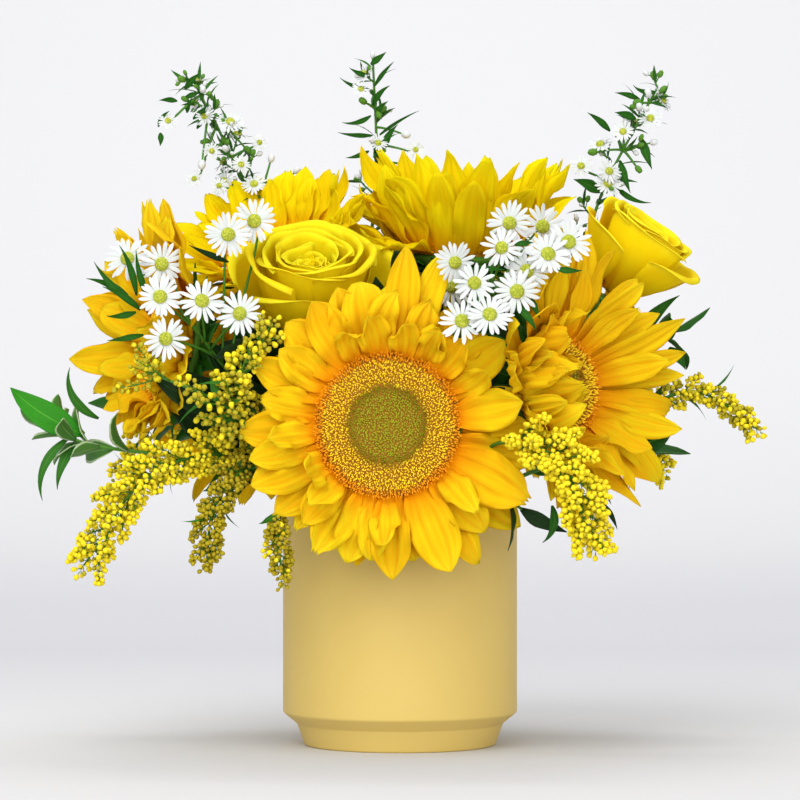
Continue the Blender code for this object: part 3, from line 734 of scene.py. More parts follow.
@dataclass(frozen=True)
class FloretFinish:
    """Packed florets: green in the middle, gold further out, with painted shade low between them, and deep at
    the head's rim.
    """

    name: str
    middle: Colour
    edge: Colour
    gold: Colour
    deep: Colour

    def build(self) -> Material:
        """Builds the node tree.

        Returns:
            The material.
        """
        finish = Finish(self.name, 0.6, 0.1)
        ripe = finish.attribute(RIPENESS) + (finish.noise(260.0) - 0.5) * 0.13
        ages = [(0.0, self.middle), (0.4, self.middle), (0.53, self.edge), (0.6, self.gold), (1.0, self.gold)]
        # Painted shade: each floret's lower part takes the deep colour, as if shaded by its neighbours
        low = finish.ramp(finish.attribute(HEIGHT), [(0.2, (0.5, 0.5, 0.5)), (0.7, BLACK)])
        colour = finish.mix(low, finish.ramp(ripe, ages), self.deep)
        rim = finish.ramp(ripe + finish.noise(900.0) * 0.2, [(0.97, BLACK), (1.1, (0.75, 0.75, 0.75))])
        colour = finish.mix(rim, colour, self.deep)
        fleck = (finish.noise(1100.0) > 0.68) * 0.22
        return finish.done(finish.mix(fleck, colour, self.gold), finish.noise(900.0), 0.15 * MM)


CLAY = (0.72, 0.54, 0.165), (0.65, 0.455, 0.115)
GREEN_CUP = (0.10, 0.26, 0.02), (0.05, 0.14, 0.015)
ROSE_CYCLES = (5, 1.5, 1)


class Palette(Enum):
    """The arrangement's finishes."""

    STONEWARE = GrainFinish("matte_yellow_glaze", *CLAY, 30, 0.05 * MM, 0.48, fine=900)
    FOAM = GrainFinish("florists_foam", (0.03, 0.09, 0.03), (0.015, 0.045, 0.015), 700, 0.6 * MM, 0.95)
    STEM = GrainFinish(
        "stem_skin", (0.08, 0.25, 0.02), (0.04, 0.14, 0.015), 300, 0.25 * MM, 0.5, (1, 1, 0.15)
    )
    CUP = GrainFinish("flower_cup", *GREEN_CUP, 400, 0.35 * MM, 0.6)
    SUNFLOWER = PetalFinish(
        "golden_ray", (0.90, 0.28, 0.003), (0.89, 0.67, 0.010), (0.88, 0.76, 0.018), (0.90, 0.32, 0.003)
    )
    LEMON = PetalFinish(
        "lemon_petal", (0.97, 0.44, 0.002), (0.97, 0.88, 0.006), (0.96, 0.95, 0.012), (0.97, 0.58, 0.002),
        lines=0.2, folds=0.12, glow=0.42, warmth=0.14,
    )
    ROSE = PetalFinish(
        "lemon_rose_petal", (0.96, 0.56, 0.003), (0.95, 0.90, 0.008), (0.94, 0.95, 0.03), (0.96, 0.56, 0.003),
        lines=0.12, folds=0, cycles=ROSE_CYCLES, glow=0.42, warmth=0.28,
    )
    ROSE_WARM = PetalFinish(
        "warm_rose_petal", (0.97, 0.52, 0.003), (0.97, 0.80, 0.006), (0.96, 0.90, 0.03), (0.97, 0.54, 0.003),
        lines=0.16, folds=0, cycles=ROSE_CYCLES, glow=0.24, warmth=0.3,
    )
    FLORETS = FloretFinish(
        "sunflower_florets", (0.33, 0.34, 0.02), (0.17, 0.15, 0.006), (1.0, 0.74, 0.03), (0.80, 0.22, 0.006)
    )
    DISC = GrainFinish("disc_bed", (0.46, 0.21, 0.012), (0.26, 0.13, 0.01), 500, 0.4 * MM, 0.8)
    RAY = GrainFinish("aster_ray", (0.70, 0.71, 0.73), (0.50, 0.55, 0.50), 160, 0.08 * MM, 0.6, share=0.5)
    BUTTON = GrainFinish(
        "aster_button", (0.72, 0.70, 0.10), (0.34, 0.40, 0.03), 500, 0.35 * MM, 0.8, cells=900
    )
    BLOSSOM = GrainFinish(
        "goldenrod_blossom", (0.94, 0.78, 0.03), (0.64, 0.50, 0.015), 220, 0.2 * MM, 0.7, gloss=0.08
    )
    BUD = GrainFinish("goldenrod_bud", (0.54, 0.45, 0.03), (0.24, 0.22, 0.012), 220, 0.15 * MM, gloss=0.1)
    OLIVE_BUD = GrainFinish(
        "goldenrod_olive_bud", (0.46, 0.36, 0.02), (0.28, 0.22, 0.012), 220, 0.15 * MM, gloss=0.1
    )
    LEAF = LeafFinish("leaf_green", (0.025, 0.17, 0.008), (0.10, 0.30, 0.03), (0.008, 0.07, 0.005))
    FRESH_LEAF = LeafFinish("fresh_leaf", (0.04, 0.22, 0.015), (0.16, 0.38, 0.06), (0.018, 0.12, 0.01))
    BRIGHT_LEAF = LeafFinish("bright_leaf", (0.030, 0.30, 0.008), (0.10, 0.42, 0.03), (0.016, 0.17, 0.005))
    # Near-black leaves set in the gaps between the flowers: a painted shade
    SHADED_LEAF = LeafFinish("shaded_leaf", (0.012, 0.05, 0.008), (0.03, 0.09, 0.015), (0.006, 0.02, 0.005))
    PALE_EDGED_LEAF = LeafFinish(
        "pale_edged_leaf", (0.10, 0.28, 0.05), (0.24, 0.42, 0.12), (0.04, 0.15, 0.02), edge=(0.50, 0.62, 0.36)
    )

    def material(self) -> Material:
        """The finish's material, made once."""
        return bpy.data.materials.get(self.value.name) or self.value.build()


class Growth(Graph):
    """A Geometry Nodes tree with named inputs, run once on an object to give a plain mesh."""

    def __init__(self, name: str, inputs: dict[str, str]) -> None:
        """Starts the tree.

        Args:
            name: the tree's name.
            inputs: a socket type for each input's name.
        """
        tree = bpy.data.node_groups.new(name, "GeometryNodeTree")
        super().__init__(tree)
        tree.interface.new_socket("Geometry", in_out="INPUT", socket_type="NodeSocketGeometry")
        self.identifiers = {
            key: tree.interface.new_socket(key, in_out="INPUT", socket_type="NodeSocket" + kind).identifier
            for key, kind in inputs.items()
        }
        tree.interface.new_socket("Geometry", in_out="OUTPUT", socket_type="NodeSocketGeometry")
        self.inputs = tree.nodes.new("NodeGroupInput").outputs
        self.result = tree.nodes.new("NodeGroupOutput").inputs[0]
        self.joined = self.add("GeometryNodeJoinGeometry")

    def given(self, name: str) -> Signal:
        """One of the tree's inputs."""
        return Signal(self, self.inputs[name])

    def attribute(self, name: str, kind: str = "FLOAT") -> Signal:
        """A named attribute of the points."""
        return self.signal("GeometryNodeInputNamedAttribute", {"Name": name}, data_type=kind)

    def chance(self, low: float, high: float, seed: int) -> Signal:
        """A random number for each point."""
        return self.signal("FunctionNodeRandomValue", {2: low, 3: high, "Seed": seed}, 1)

    def copy(self, name: str, points: Signal, chosen: Signal, turn: Signal, size: Signal) -> None:
        """Sets copies of one shape on points.

        Args:
            name: the input that names the shape's object.
            points: the points.
            chosen: which of them.
            turn: the copies' turns.
            size: the copies' sizes.
        """
        shape = self.signal("GeometryNodeObjectInfo", {"Object": self.given(name)}, "Geometry")
        inputs = {0: points, "Selection": chosen, "Instance": shape, "Rotation": turn, "Scale": size}
        copies = self.add("GeometryNodeInstanceOnPoints", inputs)
        self.tree.links.new(copies.outputs[0], self.joined.inputs[0])

    def finish(self, first: str, second: str | None = None) -> None:
        """Ends the tree: the copies are smooth and realized, and wear the material of their kind.

        Args:
            first: the input that gives the first kind's material.
            second: the input that gives the second kind's material, if there is one.
        """
        smooth = self.signal("GeometryNodeSetShadeSmooth", {0: Signal(self, self.joined.outputs[0])})
        real = self.signal("GeometryNodeRealizeInstances", {0: smooth})
        dressed = self.signal("GeometryNodeSetMaterial", {0: real, "Material": self.given(first)})
        if second:
            inputs = {0: dressed, "Selection": self.attribute(KIND) > 0.5, "Material": self.given(second)}
            dressed = self.signal("GeometryNodeSetMaterial", inputs)
        self.tree.links.new(dressed.socket, self.result)

    def grow(self, name: str, base: Mesh, values: dict[str, object]) -> Mesh:
        """Runs the tree.

        Args:
            name: the new mesh's name.
            base: what it starts from, which is removed.
            values: a value for each input's name.

        Returns:
            The mesh.
        """
        holder = link(name, base)
        modifier = holder.modifiers.new(name, "NODES")
        modifier.node_group = self.tree
        for key, value in values.items():
            modifier[self.identifiers[key]] = value
        holder.update_tag()
        graph = bpy.context.evaluated_depsgraph_get()
        mesh = bpy.data.meshes.new_from_object(holder.evaluated_get(graph))
        holder.modifiers.remove(modifier)
        bpy.data.objects.remove(holder)
        bpy.data.meshes.remove(base)
        mesh.name = name
        return mesh


class FloretHead(Growth):
    """Florets packed over a domed head by the golden angle: closed in the middle, open round them."""

    def __init__(self) -> None:
        """Builds the tree."""
        kinds = {"Count": "Int", **dict.fromkeys(("Radius", "Dome", "Middle", "Size"), "Float")}
        kinds |= {"Closed": "Object", "Open": "Object", "Finish": "Material"}
        super().__init__("packed_florets", kinds)
        count, size = self.given("Count"), self.given("Size")
        index = self.signal("GeometryNodeInputIndex")
        share = self.math("SQRT", (index + 0.5) / count)
        stray = self.chance(-0.8, 0.8, 10) / (share * self.math("SQRT", count))
        angle = index * GOLDEN_ANGLE + stray
        unruly = self.chance(-0.8, 0.8, 9)
        radius = share * self.given("Radius") + unruly * size
        height = (self.math("SINE", share**1.3 * 2.6) - 0.35) * self.given("Dome")
        place = self.spread(radius * self.math("COSINE", angle), radius * self.math("SINE", angle), height)
        line = self.signal("GeometryNodeMeshLine", {"Count": count})
        points = self.signal("GeometryNodeSetPosition", {0: line, "Position": place})
        inputs = {0: points, "Name": RIPENESS, "Value": share}
        points = self.signal("GeometryNodeStoreNamedAttribute", inputs, data_type="FLOAT")
        lean = share**3.0 + self.chance(-0.4, 0.4, 8)
        turn = self.spread(unruly * 0.5, lean, angle)
        scale = self.chance(0.75, 1.25, 7) * size
        middle = share + unruly * 0.07 < self.given("Middle")
        self.copy("Open", points, middle < 0.5, turn, scale)
        self.copy("Closed", points, middle, turn, scale)
        self.finish("Finish")


class Scatter(Growth):
    """Copies of two small shapes on points that carry their own turn, size and kind."""

    def __init__(self) -> None:
        """Builds the tree."""
        kinds = dict.fromkeys(("First", "Second"), "Object")
        kinds |= dict.fromkeys(("First finish", "Second finish"), "Material")
        super().__init__("scattered_copies", kinds)
        kind, points = self.attribute(KIND), self.given("Geometry")
        turn, size = self.attribute(TURN, "FLOAT_VECTOR"), self.attribute(SIZE)
        self.copy("First", points, kind < 0.5, turn, size)
        self.copy("Second", points, kind > 0.5, turn, size)
        self.finish("First finish", "Second finish")


@dataclass
class Spots:
    """Points for scattered copies."""

    points: list[Vector] = field(default_factory=list)
    turns: list[Triple] = field(default_factory=list)
    sizes: list[float] = field(default_factory=list)
    kinds: list[float] = field(default_factory=list)

    def add(
        self, point: Vector, facing: Vector, size: float, kind: float = 0.0, spin_angle: float = 0.0
    ) -> None:
        """Adds a copy.

        Args:
            point: where it is.
            facing: where its top faces.
            size: its size.
            kind: 0 for the first shape, 1 for the second.
            spin_angle: its turn about its own axis.
        """
        self.points.append(point)
        self.turns.append(tuple((frame_towards(facing, Vector()) @ spin(spin_angle)).to_euler("XYZ")))
        self.sizes.append(size)
        self.kinds.append(kind)

    def mesh(self, name: str) -> Mesh:
        """The points as a mesh with an attribute for each of their facts.

        Args:
            name: its name.

        Returns:
            The mesh.
        """
        mesh = bpy.data.meshes.new(name)
        mesh.from_pydata(self.points, [], [])
        turns = mesh.attributes.new(TURN, "FLOAT_VECTOR", "POINT")
        turns.data.foreach_set("vector", np.array(self.turns).ravel())
        mark(mesh, SIZE, self.sizes)
        mark(mesh, KIND, self.kinds)
        return mesh


def seed_shape(name: str, segments: int, rings: int, shape: Callable[[Vector], Vector]) -> Object:
    """A small closed shape for copies, made from a sphere.

    Args:
        name: its name.
        segments: faces round it.
        rings: faces up it.
        shape: where each point of the unit sphere goes.

    Returns:
        An object outside the scene.
    """
    ball = bmesh.new()
    bmesh.ops.create_uvsphere(ball, u_segments=segments, v_segments=rings, radius=1.0)
    heights = [(vert.co.z + 1) / 2 for vert in ball.verts]
    for vert in ball.verts:
        vert.co = shape(vert.co.copy())
    bmesh.ops.recalc_face_normals(ball, faces=ball.faces)
    mesh = bpy.data.meshes.new(name)
    ball.to_mesh(mesh)
    ball.free()
    mark(mesh, HEIGHT, heights)
    return bpy.data.objects.new(name, mesh)


Kind = tuple[Object, Palette]


class Sundries:
    """The two trees and the small shapes that the plants share."""

    def __init__(self) -> None:
        """Builds them."""
        self.florets = FloretHead()
        self.scatter = Scatter()
        closed = seed_shape(
            "closed_floret", 5, 3, lambda p: Vector((0.62 * p.x, 0.62 * p.y, 0.62 * p.z + 0.1))
        )
        self.shapes = {"Closed": closed, "Open": seed_shape("open_floret", 5, 4, self.bell)}

    @staticmethod
    def bell(point: Vector) -> Vector:
        """A point of an open floret: tall, and drawn in a little at its mouth."""
        mouth = 1.0 if point.z < 0.2 else 0.96
        return Vector((point.x * 0.42, point.y * 0.42, 1.15 * point.z + 0.55)) * mouth

    def head(self, name: str, values: dict[str, float]) -> Mesh:
        """A mesh of packed florets about the origin, facing +Z.

        Args:
            name: its name.
            values: the florets' count and size, the head's radius and dome, and the share of closed ones.

        Returns:
            The mesh.
        """
        finish = Palette.FLORETS.material()
        return self.florets.grow(name, bpy.data.meshes.new(name), {**values, "Finish": finish, **self.shapes})

    def copies(self, name: str, spots: Spots, first: Kind, second: Kind) -> Object:
        """Copies of two shapes, joined.

        Args:
            name: the object's name.
            spots: where they are.
            first: the first shape and its finish.
            second: the second shape and its finish.

        Returns:
            The object.
        """
        shapes = {"First": first[0], "Second": second[0]}
        finishes = {"First finish": first[1].material(), "Second finish": second[1].material()}
        return link(name, self.scatter.grow(name, spots.mesh(name), {**shapes, **finishes}))


# Pot and foam


@dataclass
class Pot:
    """A cylinder of matte stoneware with a chamfered foot, and the florist's foam that fills it."""

    radius: float = 58.5 * MM
    height: float = 125 * MM
    wall: float = 5 * MM
    floor: float = 5.5 * MM
    foot: float = 46.5 * MM
    crease: tuple[float, float] = (51.5 * MM, 10.8 * MM)
    shoulder: float = 16.5 * MM
    sides: int = 128
    block: Sequence[Triple] = (
        (0, 148, 0), (24, 146, 6), (40, 138, 6), (46.9, 126, 6),
        (52.9, 114, 4), (52.9, 22.5, 3), (41, 5.8, 2), (0, 5.8, 0),
    )

    @staticmethod
    def rounded(corners: Sequence[Triple], steps: int = 5) -> Profile:
        """A profile with each corner rounded.

        Args:
            corners: radius, height and the corner's own rounding.
            steps: points on each rounding.

        Returns:
            The profile's points.
        """
        places = [np.array(corner[:2]) for corner in corners]
        profile = [tuple(places[0])]
        for before, here, after, corner in zip(places, places[1:], places[2:], corners[1:], strict=False):
            start = here + (before - here) / np.linalg.norm(before - here) * corner[2]
            end = here + (after - here) / np.linalg.norm(after - here) * corner[2]
            for t in np.linspace(0, 1, steps):
                profile.append(tuple((1 - t) ** 2 * start + 2 * t * (1 - t) * here + t**2 * end))
        return [*profile, tuple(places[-1])]

    def build(self) -> None:
        """Builds the pot and the foam."""
        inner = self.radius - self.wall
        corners = [
            (0.0, self.floor, 0.0),
            (self.foot - 2 * MM, self.floor, 3 * MM),
            (inner, self.shoulder + 2 * MM, 3 * MM),
            (inner, self.height, 1.6 * MM),
            (self.radius, self.height, 1.6 * MM),
            (self.radius, self.shoulder, 1.0 * MM),
            (*self.crease, 0.5 * MM),
            (self.foot + 1.2 * MM, 0.0, 1.1 * MM),
            (0.0, 0.0, 0.0),
        ]
        clay = Tissue()
        clay.add_turned(self.rounded(corners), Matrix.Identity(4), self.sides)
        clay.dress("stoneware_pot", Palette.STONEWARE, "stoneware", "pot")
        block = [tuple(value * MM for value in corner) for corner in self.block]
        foam = Tissue()
        foam.add_turned(self.rounded(block), Matrix.Identity(4), 48)
        foam.dress("foam_block", Palette.FOAM, "florist_foam", "foam")


# Sunflowers

SUNFLOWER_PETAL = Outline(root=0.5, belly=0.5, fullness=2.5, taper=0.86)
BRACT = Outline(root=0.75, belly=0.25, fullness=1.2, taper=1.1)

# The disc's bed: share of the radius, and height
DISC_BED = ((0, -1.5), (0.25, -0.9), (0.5, 0.2), (0.85, 0.2), (0.97, -1.4), (1, -6.2), (0, -6.2))

# The cup under the disc: share of the rim's radius, and height
CUP_HOLLOW = ((1, -6.6), (0.9, -9.6), (0.6, -12.8), (0.3, -15.5))

# Each row of bracts: their number, depth under the rim, share of the rim's radius, and length
BRACT_ROWS = ((13, 8.4, 0.94, 19), (11, 10.4, 0.8, 16), (8, 12.6, 0.58, 13))

# The front bloom's petals behind the listed ones
BACKING = 24

# Each row of petals: their number, share of the full length, extra lift, and depth of the root
PETAL_ROWS = ((19, 1.0, -0.04, 5.4), (17, 0.95, 0.12, 4.4), (9, 0.74, 0.34, 3.4))
FULL_ROWS = ((13, 0.78, -0.12, 5.8), (12, 0.94, 0.02, 5.0), (12, 1.0, 0.16, 4.2), (8, 0.86, 0.36, 3.4))

# Each petal listed one by one: its angle, length, width, then lift, bend, sway and twist in degrees
FRONT_PETALS = (
    (8, 32, 16, 10, -6, 8, 0), (-14, 38, 13, 0, -4, 4, 0), (-27, 43, 20, 14, 0, -6, 8),
    (-38, 46, 16, -8, 0, 4, 0), (-47, 35, 15, 8, -4, 0, 0), (-57, 46, 13, 0, -6, 3, -20),
    (-66, 43, 18, 12, -8, -2, 0), (-79, 32, 13, 6, -10, 0, 0), (-88, 39, 15, 2, -6, 0, 10),
    (-97, 31, 13, 16, -16, 0, 0), (-107, 34, 15, 2, -4, 2, 0), (-119, 36, 16, 8, -8, -3, -8),
    (-131, 29, 13, 18, -10, 4, 0), (-142, 34, 14, 2, -2, 0, 0), (-155, 37, 16, 5, -4, -5, 8),
    (-166, 34, 13, 10, -8, 0, 0), (-178, 37, 15, 2, -2, 3, 0), (168, 28, 14, 16, -10, 0, 0),
    (155, 37, 14, -2, 6, 0, -10), (145, 29, 15, 14, -8, 0, 0), (134, 35, 17, 6, 0, 4, 0),
    (122, 36, 16, 12, -4, -4, 0), (110, 36, 16, 8, 0, 0, 8), (101, 38, 18, 16, -10, 0, 0),
    (96, 34, 12, 26, -14, -52, 16), (84, 34, 16, -4, 2, 0, 0), (72, 30, 13, 12, 10, -8, 30),
    (60, 30, 12, 44, 34, 0, 20), (47, 26, 14, 28, 8, 6, 0), (35, 35, 17, -2, 4, 4, -8),
)


@dataclass
class Bloom:
    """A flower on its own stem, named and placed as its solids are."""

    name: str
    centre: Triple
    facing: Triple
    seed: int = field(default=1, kw_only=True)

    def __post_init__(self) -> None:
        """Works out the head's place."""
        self.facing_way = Vector(self.facing).normalized()
        self.place = frame_towards(self.facing_way, millimetres(self.centre))
        self.random = random.Random(self.seed)


@dataclass
class Sunflower(Bloom):
    """A sunflower: its disc's radius, its petals' length and lift, and how they crowd, fold and hang."""

    disc: float
    petal: float
    lift: float
    crowd: Triple = (0, 0, 0)
    crowd_lift: float = 0
    crowd_curl: float = 2.0
    slim: float = 0.34
    petals: Table = ()
    rows: Table = PETAL_ROWS
    finish: Palette = Palette.SUNFLOWER
    folded: Table = ()
    packing: float = 1.7
    mesh: tuple[int, int] = (14, 10)
    hanging: float = 1.0

    def __post_init__(self) -> None:
        """Works out the head's place and size."""
        super().__post_init__()
        self.inverse = self.place.inverted()
        self.radius = self.disc * MM

    def node(self, part: str) -> str:
        """The name of one of its solids."""
        return f"sunflower_{self.name}_{part}"

    def touches(self, point: Vector) -> bool:
        """Whether a point lies in the cone of petals or on the disc.

        Args:
            point: the point.

        Returns:
            Whether it does.
        """
        x, y, z = self.inverse @ point
        out = math.hypot(x, y) - self.radius
        if out > 0.82 * self.petal * MM:
            return False
        surface = max(out, 0.0) * math.tan(math.radians(self.lift)) - 3 * MM
        return -12 * MM < z - surface < 6 * MM

    def build(self, sundries: Sundries) -> None:
        """Builds the stem and cup, the disc with its florets, and the petals.

        Args:
            sundries: the shared shapes.
        """
        self.build_stem()
        self.build_disc(sundries)
        rays = Tissue()
        petals = self.table_petals() if self.petals else self.rule_petals()
        rays.add_blades(petals + self.set_petals(self.folded), SUNFLOWER_PETAL, *self.mesh)
        node = self.node("petals")
        rays.dress(self.node("rays"), self.finish, "sunflower_petal", node, thickness=0.22 * MM)

    def build_stem(self) -> None:
        """The stem, the cup under the disc and its bracts, in rows that lap like scales."""
        uniform = self.random.uniform
        centre = millimetres(self.centre)
        green = Tissue()
        stem = Stem([centre - self.facing_way * depth * MM for depth in (34, 15)])
        green.add_tube(stem.run(24), 3.6, 3.8, 12)
        rim = self.radius + 1.6 * MM
        hollow = [(share * rim / MM, height) for share, height in CUP_HOLLOW]
        lip = [(0.0, -6.5), (self.disc + 0.2, -6.5), (self.disc + 1.0, -4.2)]
        green.add_turned([*lip, *hollow, (4.6, -17.5), (3.8, -20), (0.0, -20)], self.place, 32, MM)
        green.dress(self.node("cup"), Palette.CUP, "green_stem", self.node("stem"))
        scales = []
        rise = max(0.0, math.radians(self.lift) - 0.55)
        for row, (count, depth, radius, length) in enumerate(BRACT_ROWS):
            for index in range(count):
                angle = 2 * math.pi * (index + 0.5 * row + uniform(-0.15, 0.15)) / count
                place = self.place @ spin(angle) @ Matrix.Translation((radius * rim, 0.0, -depth * MM))
                bend, sway, tint = uniform(-0.7, 0.1), uniform(-0.2, 0.2), self.random.random()
                turns = rise + 0.12 - 0.2 * row, bend, sway
                scales.append(
                    Blade(place, length * MM, 9 * MM, *turns, cup=-0.35, folds=0.05, ruffle=0.1, tint=tint)
                )
        bracts = Tissue()
        bracts.add_blades(scales, BRACT, 8, 4)
        bracts.dress(self.node("bracts"), Palette.LEAF, "green_stem", self.node("stem"), thickness=0.5 * MM)

    def build_disc(self, sundries: Sundries) -> None:
        """The disc's bed and the florets packed on it.

        Args:
            sundries: the shared shapes.
        """
        bed = Tissue()
        bed.add_turned([(r * self.radius, z * MM) for r, z in DISC_BED], self.place, 48)
        bed.dress(self.node("bed"), Palette.DISC, "flower_disc", self.node("disc"))
        name = self.node("florets")
        values = {
            "Count": int(self.packing * self.disc**2),
            "Radius": 1.01 * self.radius,
            "Dome": 1.9 * MM,
            "Middle": 0.56,
            "Size": 1.46 / math.sqrt(self.packing) * MM,
        }
        mesh = sundries.head(name, values)
        mesh.transform(self.place)
        wear(link(name, mesh), "flower_disc", self.node("disc"))

    def ray(self, angle: float, depth: float, length: float, width: float, turns: Iterable[float]) -> Blade:
        """One petal, rooted under the disc's rim.

        Args:
            angle: its place round the disc.
            depth: how far below the disc's rim it is rooted.
            length: its length.
            width: its greatest width.
            turns: its lift at the root, how much more it is lifted at the tip, its sway and its twist.

        Returns:
            The petal.
        """
        uniform = self.random.uniform
        place = self.place @ spin(angle) @ Matrix.Translation((self.radius - 1.2 * MM, 0.0, -depth))
        curl, folds = uniform(-1.0, 0.8), uniform(0.07, 0.17)
        teeth = float(self.random.random() < 0.25)
        bends = curl, uniform(0.05, 0.4), folds, uniform(0.12, 0.42), 0.16, teeth
        return Blade(place, length + 1.6 * MM, width, *turns, *bends, self.random.random())

    def table_petals(self) -> list[Blade]:
        """Grows the petals that are listed one by one, over a row that fills the gaps behind.

        Returns:
            The petals.
        """
        uniform = self.random.uniform
        blades = []
        for index in range(BACKING):
            angle = 2 * math.pi * (index + uniform(-0.2, 0.2)) / BACKING
            length = 0.9 * self.petal * uniform(0.85, 1.0) * MM
            sway, twist = uniform(-0.15, 0.15), uniform(-0.3, 0.3)
            turns = -0.12, uniform(-0.1, 0.1), sway, twist
            blades.append(self.ray(angle, 6.0 * MM, length, 13 * MM, turns))
        return blades + self.set_petals(self.petals)

    def set_petals(self, table: Table) -> list[Blade]:
        """Petals set one by one.

        Args:
            table: for each, its angle, length and width, then its lift, bend, sway and twist.

        Returns:
            The petals.
        """
        blades = []
        for index, (angle, length, width, *turns) in enumerate(table):
            depth = (3.4 + 1.2 * (index % 2)) * MM
            size = length * MM, 1.28 * width * MM
            blades.append(self.ray(math.radians(angle), depth, *size, map(math.radians, turns)))
        return blades

    def rule_petals(self) -> list[Blade]:
        """Grows rows of petals, raised where the bloom is crowded.

        Returns:
            The petals.
        """
        uniform = self.random.uniform
        blades = []
        for count, share, extra, depth in self.rows:
            for index in range(count):
                angle = 2 * math.pi * (index + 0.4 + 2 * extra) / count + uniform(-0.12, 0.12)
                outward = self.place.to_3x3() @ Vector((math.cos(angle), math.sin(angle), 0.0))
                push = max(0.0, outward.dot(Vector(self.crowd))) * math.radians(self.crowd_lift)
                lift = math.radians(self.lift) + extra + push + uniform(-0.1, 0.1)
                length = self.petal * share * uniform(0.8, 1.06) * MM
                length *= 1.0 - (1.0 - self.hanging) * max(0.0, -outward.z)
                width = self.petal * self.slim * uniform(0.85, 1.15) * MM
                bend = uniform(-0.4, 0.35) + 0.6 * self.crowd_curl * push
                turns = lift, bend, uniform(-0.3, 0.3), uniform(-0.6, 0.6)
                blades.append(self.ray(angle, depth * MM, length, width, turns))
        return blades


# Petals that curl in over the front bloom's disc
FRONT_FOLDS = (
    (98, 27, 13, 34, 62, 18, 25), (114, 27, 12, 40, 56, -12, -20), (78, 25, 12, 44, 50, 22, 30),
    (62, 27, 12, 30, 40, -16, -30), (212, 28, 14, 44, 62, 12, -25), (228, 27, 12, 34, 50, -10, 30),
    (268, 30, 12, 24, 40, 12, 35), (318, 30, 12, 22, 36, -12, -30), (186, 30, 11, 26, 30, 10, 25),
    (26, 28, 11, 24, 34, 12, 25), (83, 52, 13, 6, -8, 4, 10), (73, 55, 12, 4, -6, -5, -15),
)
# Petals that close over the right bloom's disc
RIGHT_FOLDS = (
    (150, 52, 14, 58, 58, 10, 30), (172, 56, 15, 62, 60, -6, -25), (192, 56, 15, 58, 64, 8, 20),
    (212, 52, 14, 62, 54, -10, -30), (232, 46, 13, 52, 60, 8, 25), (164, 44, 11, 78, 40, 0, 40),
    (202, 44, 12, 80, 50, 12, -40), (128, 44, 11, 72, 16, -14, 20), (252, 42, 12, 50, 56, 14, -20),
    (182, 48, 13, 50, 78, 4, 30), (112, 44, 11, 66, 40, -10, 20), (270, 38, 11, 56, 50, 12, -20),
    (150, 44, 13, 36, 16, 6, 12), (176, 44, 13, 44, 30, 6, 15),
)
# Petals that spread out to the crown bloom's left
CROWN_SPREAD = (
    (172, 42, 13, 18, 8, 6, 15), (188, 44, 14, 24, 6, -6, -20), (204, 46, 14, 14, 10, 8, 10),
    (160, 44, 13, 26, 8, -8, 20), (218, 42, 13, 8, 12, 4, -10), (196, 36, 12, 6, 16, 0, 20),
    (232, 38, 12, 6, 14, -8, 10),
)
# Petals that stand up behind the upper left bloom
UPPER_LEFT_FAN = (
    (72, 34, 11, 36, 10, -6, 10), (88, 36, 12, 42, 8, 5, -15), (103, 37, 13, 38, 12, -4, 12),
    (118, 36, 12, 42, 6, 6, -10), (132, 38, 13, 34, 10, 4, 14), (148, 40, 13, 24, 12, -5, 10),
    (80, 29, 10, 52, 6, 8, 20), (111, 30, 10, 54, 4, -8, -20), (163, 42, 12, 14, 10, 4, 12),
)

SUNFLOWERS = [
    Sunflower(
        "front", (-6, -98, 160), (-0.03, -1, 0.05), 34, 38, 8,
        seed=3, petals=FRONT_PETALS, folded=FRONT_FOLDS, packing=3.4, mesh=(16, 12),
    ),
    Sunflower(
        "right", (77, -66, 179), (0.6, -0.78, 0.12), 24, 54, 18, (-0.95, -0.3, 0), 42, 1.4, 0.24,
        seed=5, folded=RIGHT_FOLDS,
    ),
    Sunflower(
        "crown", (30, 12, 250), (0.03, -0.1, 1), 25, 58, 46, (0, -1, 0), 20, 0.0, 0.29,
        seed=7, rows=FULL_ROWS, finish=Palette.LEMON, folded=CROWN_SPREAD,
    ),
    Sunflower(
        "upper_left", (-62, 4, 247), (-0.2, -0.46, 0.86), 25, 42, 18, (0.8, -0.2, 0), 26, 0.3, 0.25,
        seed=9, finish=Palette.LEMON, folded=UPPER_LEFT_FAN,
    ),
    Sunflower(
        "left", (-116, -28, 198), (-0.88, -0.42, 0.16), 25, 53, 26, (0.5, -0.85, 0), 8, 0.4, 0.32,
        seed=11, hanging=0.5,
    ),
    Sunflower(
        "back_left", (-72, 82, 178), (-0.45, 0.88, 0.22), 28, 42, 20, seed=13, packing=1.3, mesh=(12, 8)
    ),
    Sunflower(
        "back_right", (74, 78, 184), (0.5, 0.84, 0.24), 28, 42, 20, seed=15, packing=1.3, mesh=(12, 8)
    ),
]


def clear_of_blooms(point: Vector) -> bool:
    """Whether a point lies clear of every sunflower's petals."""
    return not any(bloom.touches(point) for bloom in SUNFLOWERS)


# Roses

# The hip's radius and height, down from the petals
HIP = ((0.0, 0.0), (5.6, -0.2), (6.6, -2.5), (6.2, -5.5), (4.4, -8.2), (2.7, -10.5), (0.0, -10.5))
SEPAL = Outline(root=0.8, belly=0.2, fullness=1.2, taper=1.2)
GUARD_PETALS = 3


